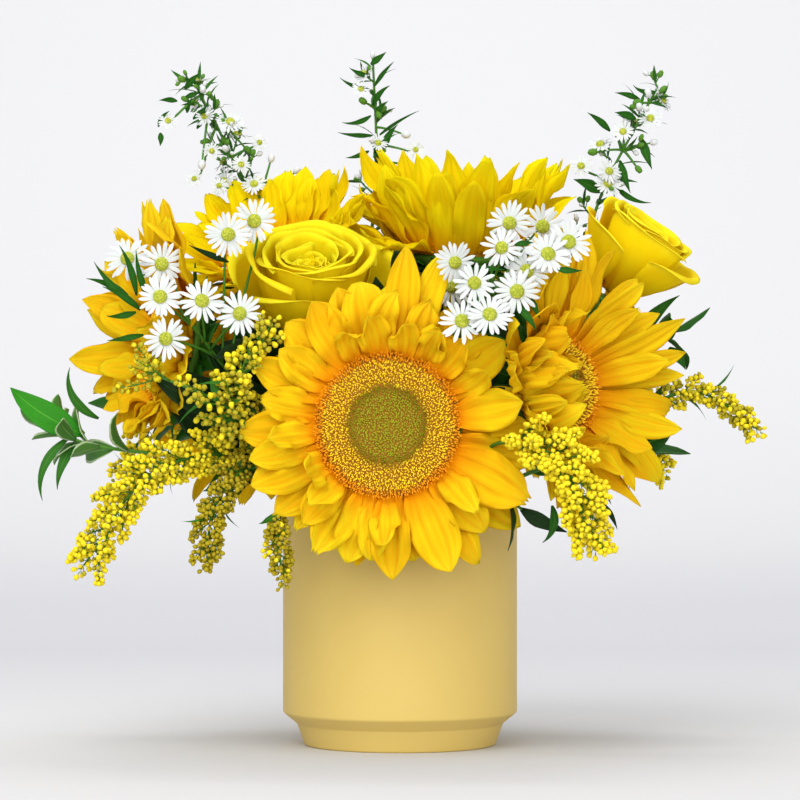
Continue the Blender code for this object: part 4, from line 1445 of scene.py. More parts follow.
@dataclass
class Rose(Bloom):
    """An open rose: petals wound by the golden angle from rolled outer ones to a tight heart."""

    radius: float
    finish: Palette = Palette.ROSE
    petals: int = 26
    depth: float = 1.36
    flare: float = 1.0
    mesh: tuple[int, int] = (20, 16)

    def petal(self, index: int) -> np.ndarray:
        """One petal's surface.

        Args:
            index: its number, from 0 at the outside.

        Returns:
            Rows by columns by 3 points in the bloom's own frame.
        """
        rows, columns = self.mesh
        uniform = self.random.uniform
        inward = index / (self.petals - 1)
        outward = 1 - inward
        lip = 1 - 0.93 * inward**0.78
        span = math.radians(100 + 110 * inward) * uniform(0.94, 1.06)
        turn = index * GOLDEN_ANGLE + uniform(-0.1, 0.1)
        foot = -self.depth * (1 - 0.5 * inward)
        guard = float(index < GUARD_PETALS)
        crown = 0.2 * math.sin(math.pi * min(inward * 1.25, 1.0))
        top = -0.06 - 0.28 * guard * self.flare + crown + uniform(-0.03, 0.03)
        t = np.linspace(-1, 1, columns + 1)[None, :]
        share = np.linspace(0, 1, rows + 1)[:, None]
        rise = np.clip(share / 0.8, 0, 1) * (1 - 0.1 * outward * np.abs(t) ** 3)
        opening = (0.1 * outward + 0.14 * guard) * self.flare * rise**3
        radius = lip * (0.18 + 0.82 * np.sin(np.pi / 2 * rise**0.85)) + opening
        height = foot + (top - foot) * rise
        wave = np.abs(np.sin(1.8 * t + uniform(0, 3)))
        roll = math.radians(165 - 95 * inward) * uniform(0.8, 1.1) * (0.5 + 0.5 * wave)
        curl = roll * np.clip((share - 0.8) / 0.2, 0, 1)
        size = (0.085 - 0.045 * inward) * uniform(0.8, 1.2)
        radius = radius + size * (1 - np.cos(curl)) + 0.11 * lip * t * (0.4 + inward)
        height = height + size * np.sin(curl) + 0.03 * share**4 * np.sin(4 * t + uniform(0, 6))
        radius = radius + 0.022 * share**3 * np.sin(5 * t + uniform(0, 6)) + 0.01 * np.sin(9 * t + 5 * share)
        angle = turn + t * span / 2 * (0.55 + 0.45 * np.sin(np.pi / 2 * np.clip(share * 1.5, 0, 1)))
        return np.stack([radius * np.cos(angle), radius * np.sin(angle), height], -1) * (self.radius * MM)

    def build(self) -> None:
        """Builds the stem, the hip with its sepals, and the petals."""
        stem_node = f"rose_{self.name}_stem"
        base = -self.depth * (self.radius * MM)
        centre = millimetres(self.centre)
        green = Tissue()
        stem = Stem([centre + self.facing_way * (base - depth * MM) for depth in (20, 3)])
        green.add_tube(stem.run(24), 2.6, 2.6, 10)
        place = self.place @ Matrix.Translation((0.0, 0.0, base))
        green.add_turned(HIP, place, 20, MM)
        green.dress(f"rose_{self.name}_hip", Palette.CUP, "green_stem", stem_node)
        sepals = []
        for index in range(5):
            root = place @ spin(2 * math.pi * index / 5) @ Matrix.Translation((4.5 * MM, 0, -2.4 * MM))
            sepals.append(Blade(root, 25 * MM, 7.5 * MM, 0.25, -1.0, 0.1, 0.3, cup=0.3, ruffle=0.1))
        leafy = Tissue()
        leafy.add_blades(sepals, SEPAL, 8, 4)
        name = f"rose_{self.name}_sepals"
        leafy.dress(name, Palette.FRESH_LEAF, "green_stem", stem_node, thickness=0.4 * MM)
        bloom = Tissue()
        turn = np.array(self.place)
        for index in range(self.petals):
            points = self.petal(index)
            bloom.add_grid(points @ turn[:3, :3].T + turn[:3, 3], self.random.random())
        node = f"rose_{self.name}_bloom"
        bloom.dress(f"rose_{self.name}_petals", self.finish, "rose_petal", node, thickness=0.3 * MM)


ROSES = [
    Rose("front", (-42.6, -55, 239), (0, -0.5, 0.86), 35, seed=2, flare=0.5),
    Rose("right", (123, -15, 254), (0.56, -0.24, 0.8), 28, Palette.ROSE_WARM, seed=4, petals=22, flare=0.8),
    Rose("back", (-4, 92, 230), (0, 0.66, 0.75), 31, seed=6),
]


# Sprays

LANCE = Outline(root=0.25, belly=0.4, fullness=1.3, taper=1.1)
OVAL = Outline(root=0.15, belly=0.42, fullness=1.9, taper=0.95)
SPOON = Outline(root=0.15, belly=0.62, fullness=2.2, taper=0.8)
RAY = Outline(root=0.55, belly=0.6, fullness=4.0, taper=0.5, end=0.3)

# A daisy's green cup: shares of its radius
DAISY_CUP = ((0.0, -0.12), (0.22, -0.12), (0.24, -0.2), (0.12, -0.32), (0.0, -0.34))

# How much finer than their solids the plumes and sprigs are: branches, a branch's length, leaves
FINER_BRANCHES = 4.2
LONGER_BRANCHES = 1.14
FINER_LEAVES = 1.6


@dataclass
class Bunch:
    """What a bank of sprays is joined into."""

    stems: Tissue = field(default_factory=Tissue)
    leaves: Tissue = field(default_factory=Tissue)
    rays: Tissue = field(default_factory=Tissue)
    heads: Spots = field(default_factory=Spots)
    buds: Spots = field(default_factory=Spots)


@dataclass
class Spray:
    """A thin stem through its targets, with leaves by the golden angle up it."""

    name: str
    targets: list[Triple]
    seed: int = 1

    def __post_init__(self) -> None:
        """Works out the stem."""
        self.stem = Stem([millimetres(target) for target in self.targets])
        self.random = random.Random(self.seed)

    def add_stem(self, bunch: Bunch, tip: float) -> None:
        """Adds the stem, with its radius at the tip."""
        bunch.stems.add_tube(self.stem.run(22), 1.3, tip, 7)

    def leaf(self, share: float, turn: float, size: Reach, lean: float, bend: float, cup: float) -> Blade:
        """A leaf on the stem.

        Args:
            share: where on the stem.
            turn: its turn round the stem.
            size: its length and width.
            lean: its lift from the stem's direction.
            bend: how much more it is lifted at the tip.
            cup: how far its edges rise.

        Returns:
            The leaf.
        """
        root, along = self.stem.at(share)
        place = frame_towards(along, root) @ spin(turn)
        sway, twist = self.random.uniform(-0.3, 0.3), self.random.uniform(-0.4, 0.4)
        return Blade(place, *size, lean, bend, sway, twist, cup=cup, ruffle=0.08, tint=self.random.random())

    def narrow(self, count: int, reach: Reach, lengths: Reach, width: float, turn: float) -> list[Blade]:
        """Narrow leaves up the stem.

        Args:
            count: how many.
            reach: where on the stem they start, and over how much of it they are spread.
            lengths: their least and greatest length.
            width: their width.
            turn: the first one's turn round the stem.

        Returns:
            The leaves.
        """
        blades = []
        for index in range(count):
            share = reach[0] + reach[1] * (index + 0.5) / count
            size = self.random.uniform(*lengths) * MM, width * MM
            blades.append(self.leaf(share, index * GOLDEN_ANGLE + turn, size, 0.75, -0.6, 0.25))
        return blades


def clear_blades(blades: Sequence[Blade]) -> list[Blade]:
    """The leaves whose middle and tip are clear of every sunflower's petals.

    Args:
        blades: the leaves.

    Returns:
        Those that are clear.
    """
    kept = []
    for blade in blades:
        middle = blade.sheet(LANCE, 4, 2)[1:, 1]
        if all(clear_of_blooms(Vector(point)) for point in middle):
            kept.append(blade)
    return kept


@dataclass
class Aster(Spray):
    """A leafy spray of small daisies: at set places, or on side twigs by rule."""

    heads: Sequence[Triple] = ()
    facing: Triple = (0, -1, 0.25)
    twigs: int = 0
    leaves: int = 6
    radius: float = 11.2
    shut: Sequence[Triple] = ()

    def grow(self, bunch: Bunch) -> None:
        """Adds the spray to the bunch.

        Args:
            bunch: what it is added to.
        """
        self.add_stem(bunch, 0.6)
        uniform = self.random.uniform
        facing = Vector(self.facing).normalized()
        forks = [self.stem.at(share / 24)[0] for share in range(11, 24)]
        for head in (millimetres(head) for head in self.heads):
            tilt = Vector((uniform(-0.3, 0.3), 0.0, uniform(-0.3, 0.3)))
            face = (facing + tilt).normalized()
            fork = min(forks, key=lambda point: (point - head).length)
            forks.remove(fork)
            self.stalk(bunch, fork, head, face)
            self.daisy(bunch, head, face, self.radius * uniform(0.94, 1.06) * MM)
        for index, bud in enumerate(millimetres(bud) for bud in self.shut):
            fork = min(forks, key=lambda point: (point - bud).length)
            way = (bud - fork).normalized()
            self.stalk(bunch, fork, bud, way)
            bunch.buds.add(bud, way, uniform(1.5, 2.2) * MM, float(index % 2))
        blades = []
        for index in range(3 * self.twigs):
            blades += self.twig(bunch, index, facing)
        blades += self.narrow(2 * self.leaves + 4, (0.36, 0.62), (13, 21), 3.2, 1)
        bunch.leaves.add_blades(clear_blades(blades), LANCE, 6, 2)

    def stalk(self, bunch: Bunch, fork: Vector, head: Vector, face: Vector) -> None:
        """Adds a curved stalk from a fork to a head, which it comes to from behind.

        Args:
            bunch: what it is added to.
            fork: where it starts.
            head: the head.
            face: where the head faces.
        """
        end = head - face * 1.5 * MM
        reach = (end - fork).length
        bow = [fork, fork.lerp(end, 0.45) + Vector((0, 0, 0.08 * reach)), end - face * 0.25 * reach, end]
        curve = []
        for t in np.linspace(0, 1, 9):
            near = (1 - t) ** 3 * bow[0] + 3 * t * (1 - t) ** 2 * bow[1]
            curve.append(near + 3 * t**2 * (1 - t) * bow[2] + t**3 * bow[3])
        bunch.stems.add_tube(curve, 0.75, 0.5, 6)

    def daisy(self, bunch: Bunch, centre: Vector, face: Vector, radius: float) -> None:
        """Adds an open head: ray florets round a button, over a green cup.

        Args:
            bunch: what it is added to.
            centre: its middle.
            face: where it faces.
            radius: its radius.
        """
        uniform = self.random.uniform
        place = frame_towards(face, centre)
        count = 17 + self.random.randrange(5)
        petals = []
        for index in range(count):
            angle = 2 * math.pi * (index + uniform(-0.22, 0.22)) / count
            length = radius * 0.72 * uniform(0.86, 1.08)
            root = place @ spin(angle) @ Matrix.Translation((0.26 * radius, 0.0, -0.02 * radius))
            turns = uniform(-0.05, 0.3), uniform(-0.5, 0.1), uniform(-0.2, 0.2), uniform(-0.3, 0.3)
            petals.append(Blade(root, length, 0.18 * radius, *turns, cup=-0.3, tint=self.random.random()))
        bunch.rays.add_blades(petals, RAY, 5, 2)
        bunch.heads.add(centre, face, radius, 0.0, uniform(0, 6))
        bunch.stems.add_turned(DAISY_CUP, place, 8, radius)

    def twig(self, bunch: Bunch, index: int, facing: Vector) -> list[Blade]:
        """Adds a side twig, shorter up the stem, with a daisy or a bud at its end and buds along it.

        Args:
            bunch: what it is added to.
            index: its number up the stem.
            facing: where the spray faces.

        Returns:
            Its small leaves.
        """
        uniform = self.random.uniform
        share = 0.46 + 0.52 * (index / 3 + 0.5) / self.twigs
        root, along = self.stem.at(share)
        side = side_of(along, index * GOLDEN_ANGLE)
        way = (side + along * uniform(0.6, 1.0)).normalized()
        length = (24 - 34 * (share - 0.5)) * uniform(0.6, 1.0) * MM
        tip = root + way * length
        bunch.stems.add_tube([root, root.lerp(tip, 0.5) + side * 0.06 * length, tip], 0.6, 0.4, 5)
        for step in (0.4, 0.6, 0.8):
            bud = root.lerp(tip, step)
            out = (side_of(way, index + 9 * step) + way).normalized()
            bunch.stems.add_tube([bud, bud + out * 4 * MM], 0.3, 0.3, 4)
            bunch.buds.add(bud + out * 5 * MM, out, uniform(1.0, 1.5) * MM, float(self.random.random() > 0.5))
        if index % 2:
            bunch.buds.add(tip, way, uniform(1.4, 2.1) * MM, float(index % 4 == 1))
        else:
            self.daisy(bunch, tip, (side + along + facing * 0.8).normalized(), uniform(5.5, 8.5) * MM)
        blades = []
        for number, step in enumerate((0.1, 0.4, 0.7)):
            place = frame_towards(way, root.lerp(tip, step)) @ spin(index + 2.4 * number)
            blades.append(Blade(place, 12 * MM, 2 * MM, 0.8, -0.6, cup=0.2, tint=self.random.random()))
        return blades


@dataclass
class Goldenrod(Spray):
    """A plume: an arching stem whose outer part is packed with side branches of tiny flower heads."""

    plume: float = 0.4
    branches: int = 7
    reach: float = 18
    thick: float = 5
    leaves: int = 3
    open_share: float = 0.7
    spacing: float = 0.8

    def grow(self, bunch: Bunch) -> None:
        """Adds the plume to the bunch.

        Args:
            bunch: what it is added to.
        """
        self.add_stem(bunch, 0.5)
        count = int(self.branches * FINER_BRANCHES)
        for index in range(count):
            self.branch(bunch, (index + 0.3) / count, index)
        end, along = self.stem.at(1.0)
        for step in range(14):
            way = (side_of(along, step * GOLDEN_ANGLE) + along * 0.8).normalized()
            self.head(bunch, end - along * (9 - step) * MM, way, 2.4 * MM)
        blades = self.narrow(2 * self.leaves + 2, (0.3, self.plume + 0.1), (17, 25), 5, 2)
        bunch.leaves.add_blades(clear_blades(blades), LANCE, 7, 4)

    def branch(self, bunch: Bunch, along_plume: float, index: int) -> None:
        """Adds a side branch that slants towards the plume's tip, shorter near it, and arches back a little.

        Args:
            bunch: what it is added to.
            along_plume: where on the plume, from 0 to 1.
            index: its number up the plume.
        """
        uniform = self.random.uniform
        root, along = self.stem.at(self.plume + (0.97 - self.plume) * along_plume)
        side = side_of(along, index * GOLDEN_ANGLE + uniform(-0.3, 0.3))
        way = (side * 0.85 + along * 0.75).normalized()
        length = LONGER_BRANCHES * self.reach * MM * (1.0 - 0.25 * along_plume) * uniform(0.65, 1.0)
        bow = side * -0.18 * length + along * 0.05 * length
        path = [root + way * length * t + bow * t * t for t in np.linspace(0, 1, 6)]
        if not all(clear_of_blooms(point) for point in path[1:]):
            return
        bunch.stems.add_tube(path, 0.45, 0.25, 5)
        heads = max(5, int(length / (self.spacing * MM)))
        for number in range(heads):
            t = 0.15 + 0.85 * (number + 0.5) / heads
            out = (side_of(way, number * GOLDEN_ANGLE + index) + way * 0.7).normalized()
            stalk = min(self.thick * MM * 0.55 * (1.2 - t), 4.6 * MM) * uniform(0.3, 1.0)
            self.head(bunch, root + way * length * t + bow * t * t, out, stalk)

    def head(self, bunch: Bunch, fork: Vector, way: Vector, stalk: float) -> None:
        """Adds a tiny flower head on its stalk.

        Args:
            bunch: what it is added to.
            fork: where the stalk starts.
            way: where it points.
            stalk: its length.
        """
        if not clear_of_blooms(fork + way * stalk):
            return
        bunch.stems.add_tube([fork, fork + way * stalk], 0.22, 0.22, 3)
        is_open = float(self.random.random() < self.open_share)
        size = self.random.uniform(0.95, 1.45) * MM
        size = size * (1.15 if is_open else 0.95) * (0.9 + 0.14 * self.spacing)
        bunch.heads.add(fork + way * (stalk + 0.8 * size), way, size, is_open, self.random.uniform(0, 6))


@dataclass
class Greenery(Spray):
    """A leafy sprig with one leaf straight on at its tip."""

    leaves: int = 7
    length: float = 26
    width: float = 10
    first: float = 0.3
    finish: Palette = Palette.LEAF
    outline: Outline = OVAL

    def grow(self, bunch: Bunch) -> None:
        """Adds the sprig to the bunch.

        Args:
            bunch: what it is added to.
        """
        self.add_stem(bunch, 0.7)
        uniform = self.random.uniform
        count = int(self.leaves * FINER_LEAVES)
        blades = []
        for index in range(count):
            share = self.first + (1.0 - self.first) * (index + 1) / count - 0.01
            scale = uniform(0.8, 1.1) * MM
            last = index == count - 1
            lean = 1.4 if last else uniform(0.6, 1.0)
            bend = uniform(-0.6, 0.3) - 0.5 * (not last)
            size = self.length * scale, self.width * scale
            blades.append(self.leaf(share, index * GOLDEN_ANGLE, size, lean, bend, 0.4))
        bunch.leaves.add_blades(clear_blades(blades), self.outline, 10, 6)


# Where the open daisies and the buds of each spray are
FRONT_LEFT_DAISIES = (
    (-131, -70, 240), (-114, -78, 237), (-114, -90, 221), (-94, -92, 219), (-76, -92, 213),
    (-111, -94, 201), (-82, -82, 251), (-70, -70, 258),
)
FRONT_RIGHT_DAISIES = (
    (26, -96, 237), (48, -98, 244), (52, -90, 256), (80, -92, 247), (70, -98, 241), (60, -98, 233),
    (35, -108, 227), (55, -108, 223), (29, -112, 209), (42, -114, 212), (25, -62, 227), (69, -58, 256),
)
TOP_LEFT_DAISIES = (
    (-118, 30, 314), (-81, 34, 292), (-96, 36, 299), (-72, 44, 304), (-92, 30, 281), (-105, 38, 285),
)
TOP_LEFT_BUDS = (
    (-87, 40, 311), (-101, 34, 292), (-110, 42, 326), (-53, 50, 290), (-78, 48, 300), (-66, 46, 296),
    (-90, 46, 305),
)
TOP_MIDDLE_DAISIES = ((-20, 40, 331), (8, 40, 300))
TOP_MIDDLE_BUDS = ((-19, 42, 325), (3, 44, 308), (-11, 44, 318), (10, 44, 292))
TOP_RIGHT_DAISIES = ((127, 26, 315), (113, 24, 308), (106, 24, 288), (92, 30, 291))
TOP_RIGHT_BUDS = (
    (134, 32, 330), (126, 30, 328), (121, 30, 323), (115, 32, 313), (98, 30, 298), (129, 30, 303),
    (121, 26, 289),
)
ASTERS = [
    Aster("front_left", [(-78, -54, 180), (-104, -80, 214)], 21, FRONT_LEFT_DAISIES, leaves=4),
    Aster("front_right", [(26, -52, 192), (46, -84, 226)], 22, FRONT_RIGHT_DAISIES, leaves=4),
    Aster(
        "top_left", [(-50, 42, 225), (-80, 48, 285), (-106, 42, 336)], 23,
        TOP_LEFT_DAISIES, twigs=8, leaves=7, radius=5.2, shut=TOP_LEFT_BUDS,
    ),
    Aster(
        "top_middle", [(-16, 46, 230), (-12, 52, 290), (-14, 45, 349)], 24,
        TOP_MIDDLE_DAISIES, twigs=2, leaves=8, radius=5.2, shut=TOP_MIDDLE_BUDS,
    ),
    Aster(
        "top_right", [(84, 34, 225), (104, 36, 280), (131, 32, 331)], 25,
        TOP_RIGHT_DAISIES, twigs=4, leaves=7, radius=6.6, shut=TOP_RIGHT_BUDS,
    ),
    Aster("back_left", [(-48, 66, 200), (-68, 92, 262)], 26, (), (-0.3, 1, 0.4), twigs=5, leaves=4),
    Aster("back_right", [(44, 64, 205), (58, 92, 268)], 27, (), (0.3, 1, 0.4), twigs=5, leaves=4),
]
# Where each plume starts on its stem, its branches, their reach and thickness, its leaves, and its share
# in flower and the heads' spacing
GOLDENRODS = [
    Goldenrod(
        "front_left", [(-64, -70, 154), (-88, -90, 172), (-122, -88, 186)], 31, 0.36, 8, 30, 9.5, 4, 0.25, 1.7
    ),
    Goldenrod(
        "beside_front", [(-60, -66, 158), (-78, -88, 178), (-62, -94, 206)], 32, 0.42, 8, 16, 6, 3, 0.5, 1.3
    ),
    Goldenrod(
        "left_plume", [(-84, -66, 146), (-122, -82, 134), (-151, -78, 93)], 33, 0.34, 11, 22, 7, 2, 0.85
    ),
    Goldenrod("left_hanging", [(-70, -74, 140), (-88, -86, 122), (-92, -86, 96)], 34, 0.42, 7, 15, 6, 2, 0.0),
    Goldenrod("pot_side", [(-50, -84, 138), (-58, -92, 116), (-56, -90, 88)], 35, 0.42, 7, 12, 5, 2, 0.1),
    Goldenrod(
        "right_plume", [(48, -100, 152), (76, -124, 142), (90, -122, 104)], 36, 0.3, 13, 25, 7, 2, 0.95
    ),
    Goldenrod("right_arch", [(98, 2, 158), (146, -2, 176), (177, -4, 158)], 37, 0.42, 9, 13, 4.2, 2, 0.5),
    Goldenrod("back_left", [(-80, 44, 150), (-126, 62, 160), (-150, 70, 118)], 38, 0.4, 7, 18, 5.5, 2),
    Goldenrod("back_middle", [(2, 84, 150), (4, 122, 150), (4, 132, 108)], 39, 0.4, 7, 18, 5.5, 2),
    Goldenrod("back_right", [(82, 40, 146), (118, 60, 156), (136, 68, 136)], 40, 0.4, 7, 18, 5.5, 2),
]
# The plumes whose flower heads are joined
BUNCHES = {
    "left": ("front_left", "beside_front", "left_plume"),
    "olive": ("left_hanging", "pot_side"),
    "right": ("right_plume", "right_arch"),
    "back": ("back_left", "back_middle", "back_right"),
}
# Leaves, their length and width, and where on the stem they start
GREENERIES = [
    Greenery(
        "left_branch", [(-96, -36, 142), (-150, -46, 150), (-166, -42, 158)], 41,
        9, 24, 11, 0.5, Palette.PALE_EDGED_LEAF, SPOON,
    ),
    # Sprigs in the near-black leaf finish fill gaps between the flowers, a painted shade
    Greenery("left_inner", [(-62, -34, 178), (-66, -56, 196)], 42, 9, 28, 14, 0.2, Palette.SHADED_LEAF),
    Greenery("middle_inner", [(6, -44, 190), (4, -52, 222)], 43, 10, 28, 14, 0.2, Palette.SHADED_LEAF),
    Greenery("right_inner", [(40, -44, 186), (46, -72, 196)], 44, 9, 26, 13, 0.25, Palette.SHADED_LEAF),
    Greenery("right_branch", [(98, -6, 190), (136, -6, 206)], 45, 8, 28, 11, 0.3),
    Greenery("top_inner", [(-24, 16, 200), (-28, 14, 240)], 46, 7, 28, 13, 0.25, Palette.SHADED_LEAF),
    Greenery("low_front", [(30, -84, 140), (58, -92, 120)], 47, 6, 26, 8, 0.3, Palette.SHADED_LEAF, LANCE),
    Greenery("back_low", [(22, 86, 142), (32, 112, 122)], 48, 7, 30, 12, 0.3),
    Greenery("back_high", [(30, 46, 205), (28, 76, 238)], 49, 7, 30, 13, 0.3),
    Greenery("left_back", [(-84, 26, 160), (-128, 34, 168)], 50, 7, 30, 12, 0.3),
    Greenery("right_low", [(86, 26, 142), (118, 32, 146)], 51, 7, 30, 12, 0.3),
]


@dataclass(frozen=True)
class Leaflet:
    """A leaf set between two given points, bowed to one side, whose face is to the front."""

    root: Triple
    tip: Triple
    width: float
    bow: float
    finish: Palette
    outline: Outline

    def blade(self) -> Blade:
        """The leaf as a blade: it leaves its line by half its bow and comes back by the other half.

        Returns:
            The blade.
        """
        root, way = millimetres(self.root), millimetres(self.tip) - millimetres(self.root)
        along = way.normalized()
        side = Vector((0, -1, 0.3)).cross(along).normalized()
        turn = Matrix((along, side, along.cross(side))).transposed().to_4x4()
        bow = math.radians(self.bow)
        shift = Matrix.Rotation(bow / 2, 4, "Z")
        place = Matrix.Translation(root) @ turn @ shift
        length = way.length * (1 + bow * bow / 24)
        return Blade(place, length, self.width * MM, 0.1, -0.2, -1.2 * bow, cup=0.25)


# The leaves set one by one, by finish and outline: each one's root and tip, its width and its bow in degrees
LEAFLET_TABLES = {
    (Palette.LEAF, LANCE): (
        (-110, 42, 331, -102, 38, 339, 3.8, 10), (-110, 42, 327, -101, 38, 330, 3, -20),
        (-114, 42, 325, -123, 38, 325, 3, -10), (-109, 42, 319, -106, 36, 326, 2.8, 20),
        (-106, 44, 316, -98, 38, 323, 3.2, -20), (-104, 44, 311, -98, 40, 317, 2.8, 20),
        (-122, 32, 308, -122, 30, 301, 3, 20), (-123, 32, 311, -117, 30, 319, 2.4, 40),
        (-15, 45, 344, -7, 41, 350, 3.6, -10), (-16, 45, 338, -26, 41, 342, 2.8, 30),
        (-13, 46, 333, -3, 40, 345, 2.4, 10), (-17, 46, 331, -31, 42, 337, 2.4, 30),
        (-14, 47, 323, -5, 42, 333, 3.2, 30), (-13, 48, 318, -6, 43, 325, 3, 20),
        (-15, 48, 318, -30, 43, 314, 2.8, 50), (-14, 50, 308, -32, 44, 309, 2.6, 20),
        (-12, 50, 307, 10, 42, 320, 1.8, 10), (-9, 46, 299, -1, 42, 313, 4, 30),
        (-16, 50, 300, -28, 44, 296, 2.8, 30), (130, 32, 329, 118, 28, 332, 3, 60),
        (122, 32, 325, 109, 28, 328, 3.2, -10), (107, 34, 309, 95, 28, 318, 3.8, -10),
        (120, 32, 315, 109, 28, 318, 4.4, -10), (102, 34, 278, 88, 28, 284, 6.5, -10),
        (110, 34, 281, 128, 28, 272, 3, -50), (123, 32, 305, 128, 28, 289, 4.8, -10),
        (112, 34, 294, 117, 28, 277, 4.2, -10), (118, -8, 203, 139, -12, 224, 7, 20),
        (134, -6, 198, 142, -10, 187, 6, 20), (31, -103, 232, 49, -106, 233, 3.8, 20),
        (54, -104, 245, 63, -107, 246, 2.8, 10), (74, -100, 234, 86, -104, 233, 3.4, -20),
        (55, -106, 216, 64, -112, 204, 3.6, 20), (62, -102, 220, 66, -106, 210, 3.2, -10),
        (-122, -88, 203, -139, -94, 200, 3.2, 10), (-124, -80, 215, -142, -84, 226, 3.6, -20),
        (-128, -80, 218, -146, -84, 238, 3.6, 20), (-126, -78, 222, -134, -82, 246, 3.4, -20),
        (-130, -78, 222, -150, -80, 230, 3.6, -20), (-126, -82, 214, -140, -86, 212, 3.4, 30),
        (-120, -78, 220, -126, -82, 244, 3.2, 20), (72, -96, 122, 67, -100, 104, 4.2, 60),
    ),
    (Palette.LEAF, OVAL): (
        (126, -6, 200, 134, -12, 215, 7, -20), (122, -6, 184, 138, -10, 194, 8, 20),
    ),
    # Dark leaves filling the gaps behind the goldenrod and between the blooms: a painted shade
    (Palette.SHADED_LEAF, OVAL): (
        (-72, -46, 160, -104, -60, 186, 18, 20), (-64, -44, 172, -92, -62, 200, 18, 20),
        (-60, -46, 180, -78, -64, 208, 16, -20), (-70, -50, 150, -100, -66, 164, 17, -20),
        (-78, -50, 148, -112, -58, 172, 16, 20), (-66, -56, 150, -84, -70, 128, 15, 20),
        (-58, -60, 168, -90, -74, 184, 14, 15), (-60, -58, 158, -94, -72, 168, 13, -15),
        (-84, -62, 166, -118, -72, 182, 13, 15), (0, -40, 196, -12, -58, 232, 17, 20),
        (8, -40, 196, 16, -60, 230, 17, -20), (4, -36, 206, 2, -52, 240, 17, 10),
        (38, -70, 176, 49, -88, 196, 14, 20), (38, -78, 162, 50, -96, 178, 14, 20),
    ),
    (Palette.SHADED_LEAF, LANCE): (
        (-82, -78, 238, -101, -82, 246, 3.2, 10), (98, -76, 122, 104, -78, 110, 2.6, 10),
        (94, -76, 134, 101, -78, 122, 2.6, 10),
    ),
    (Palette.BRIGHT_LEAF, OVAL): (
        (-154, -44, 155, -190, -46, 178, 14, 22),
    ),
    (Palette.FRESH_LEAF, LANCE): (
        (-147, -44, 163, -161, -50, 189, 4.5, 70), (-161, -44, 154, -174, -50, 122, 4.5, -60),
        (-158, -42, 152, -167, -46, 128, 5, -30),
    ),
}
LEAFLETS = [
    Leaflet(row[:3], row[3:6], *row[6:], *look) for look, rows in LEAFLET_TABLES.items() for row in rows
]


@dataclass
class AsterBank:
    """All the asters, joined kind by kind."""

    sprays: list[Aster]

    def build(self, sundries: Sundries) -> None:
        """Builds the stems, leaves, rays, buttons and buds.

        Args:
            sundries: the shared shapes.
        """
        bunch = Bunch()
        for spray in self.sprays:
            spray.grow(bunch)
        nodes = [f"aster_{spray.name}" for spray in self.sprays]
        bunch.stems.dress("aster_stems", Palette.STEM, "aster_sprig", *nodes)
        bunch.leaves.dress("aster_leaves", Palette.FRESH_LEAF, "aster_sprig", *nodes)
        bunch.rays.dress("aster_rays", Palette.RAY, "aster_daisy", *nodes)
        button = seed_shape("button", 20, 9, self.dome), Palette.BUTTON
        wear(sundries.copies("aster_buttons", bunch.heads, button, button), "aster_daisy", *nodes)
        green = seed_shape("green_bud", 6, 4, lambda p: Vector((p.x, p.y, 1.5 * p.z))), Palette.CUP
        white = seed_shape("white_bud", 6, 4, lambda p: Vector((p.x, p.y, 1.3 * p.z))), Palette.RAY
        wear(sundries.copies("aster_buds", bunch.buds, green, white), "aster_sprig", *nodes)

    @staticmethod
    def dome(point: Vector) -> Vector:
        """A point of a button: a low dome of small lumps.

        Args:
            point: a point of the unit sphere.

        Returns:
            The point.
        """
        angle = math.atan2(point.y, point.x)
        lump = 0.04 * math.cos(10 * angle) * math.cos(9 * point.z)
        wide = 0.3 + lump
        return Vector((point.x * wide, point.y * wide, 0.18 * point.z + 0.03 + lump * (point.z > 0)))


@dataclass
class GoldenrodBank:
    """All the goldenrod, joined kind by kind."""

    sprays: list[Goldenrod]

    def build(self, sundries: Sundries) -> None:
        """Builds the stems, leaves and flower heads.

        Args:
            sundries: the shared shapes.
        """
        joined = Bunch()
        bunches = {name: Bunch(joined.stems, joined.leaves) for name in BUNCHES}
        for spray in self.sprays:
            spray.grow(next(bunches[name] for name, plumes in BUNCHES.items() if spray.name in plumes))
        nodes = [f"goldenrod_{spray.name}" for spray in self.sprays]
        joined.stems.dress("goldenrod_stems", Palette.STEM, "goldenrod", *nodes)
        joined.leaves.dress("goldenrod_leaves", Palette.FRESH_LEAF, "green_leaf", *nodes)
        blossom = seed_shape("open_head", 6, 4, self.tuft), Palette.BLOSSOM
        bud = seed_shape("bud", 5, 4, lambda p: Vector((p.x, p.y, 1.15 * p.z)))
        for name, plumes in BUNCHES.items():
            shut = Palette.OLIVE_BUD if name == "olive" else Palette.BUD
            piece = sundries.copies(f"goldenrod_{name}_heads", bunches[name].heads, (bud, shut), blossom)
            wear(piece, "goldenrod", *(f"goldenrod_{plume}" for plume in plumes))

    @staticmethod
    def tuft(point: Vector) -> Vector:
        """A point of an open head: its rays stand out round the top of a small cup.

        Args:
            point: a point of the unit sphere.

        Returns:
            The point.
        """
        ray = 1.0 + 0.3 * math.cos(3 * math.atan2(point.y, point.x) + 4 * point.z)
        wide = (0.55 + 0.6 * (point.z + 1) / 2) * ray
        return Vector((point.x * wide, point.y * wide, 1.1 * point.z))


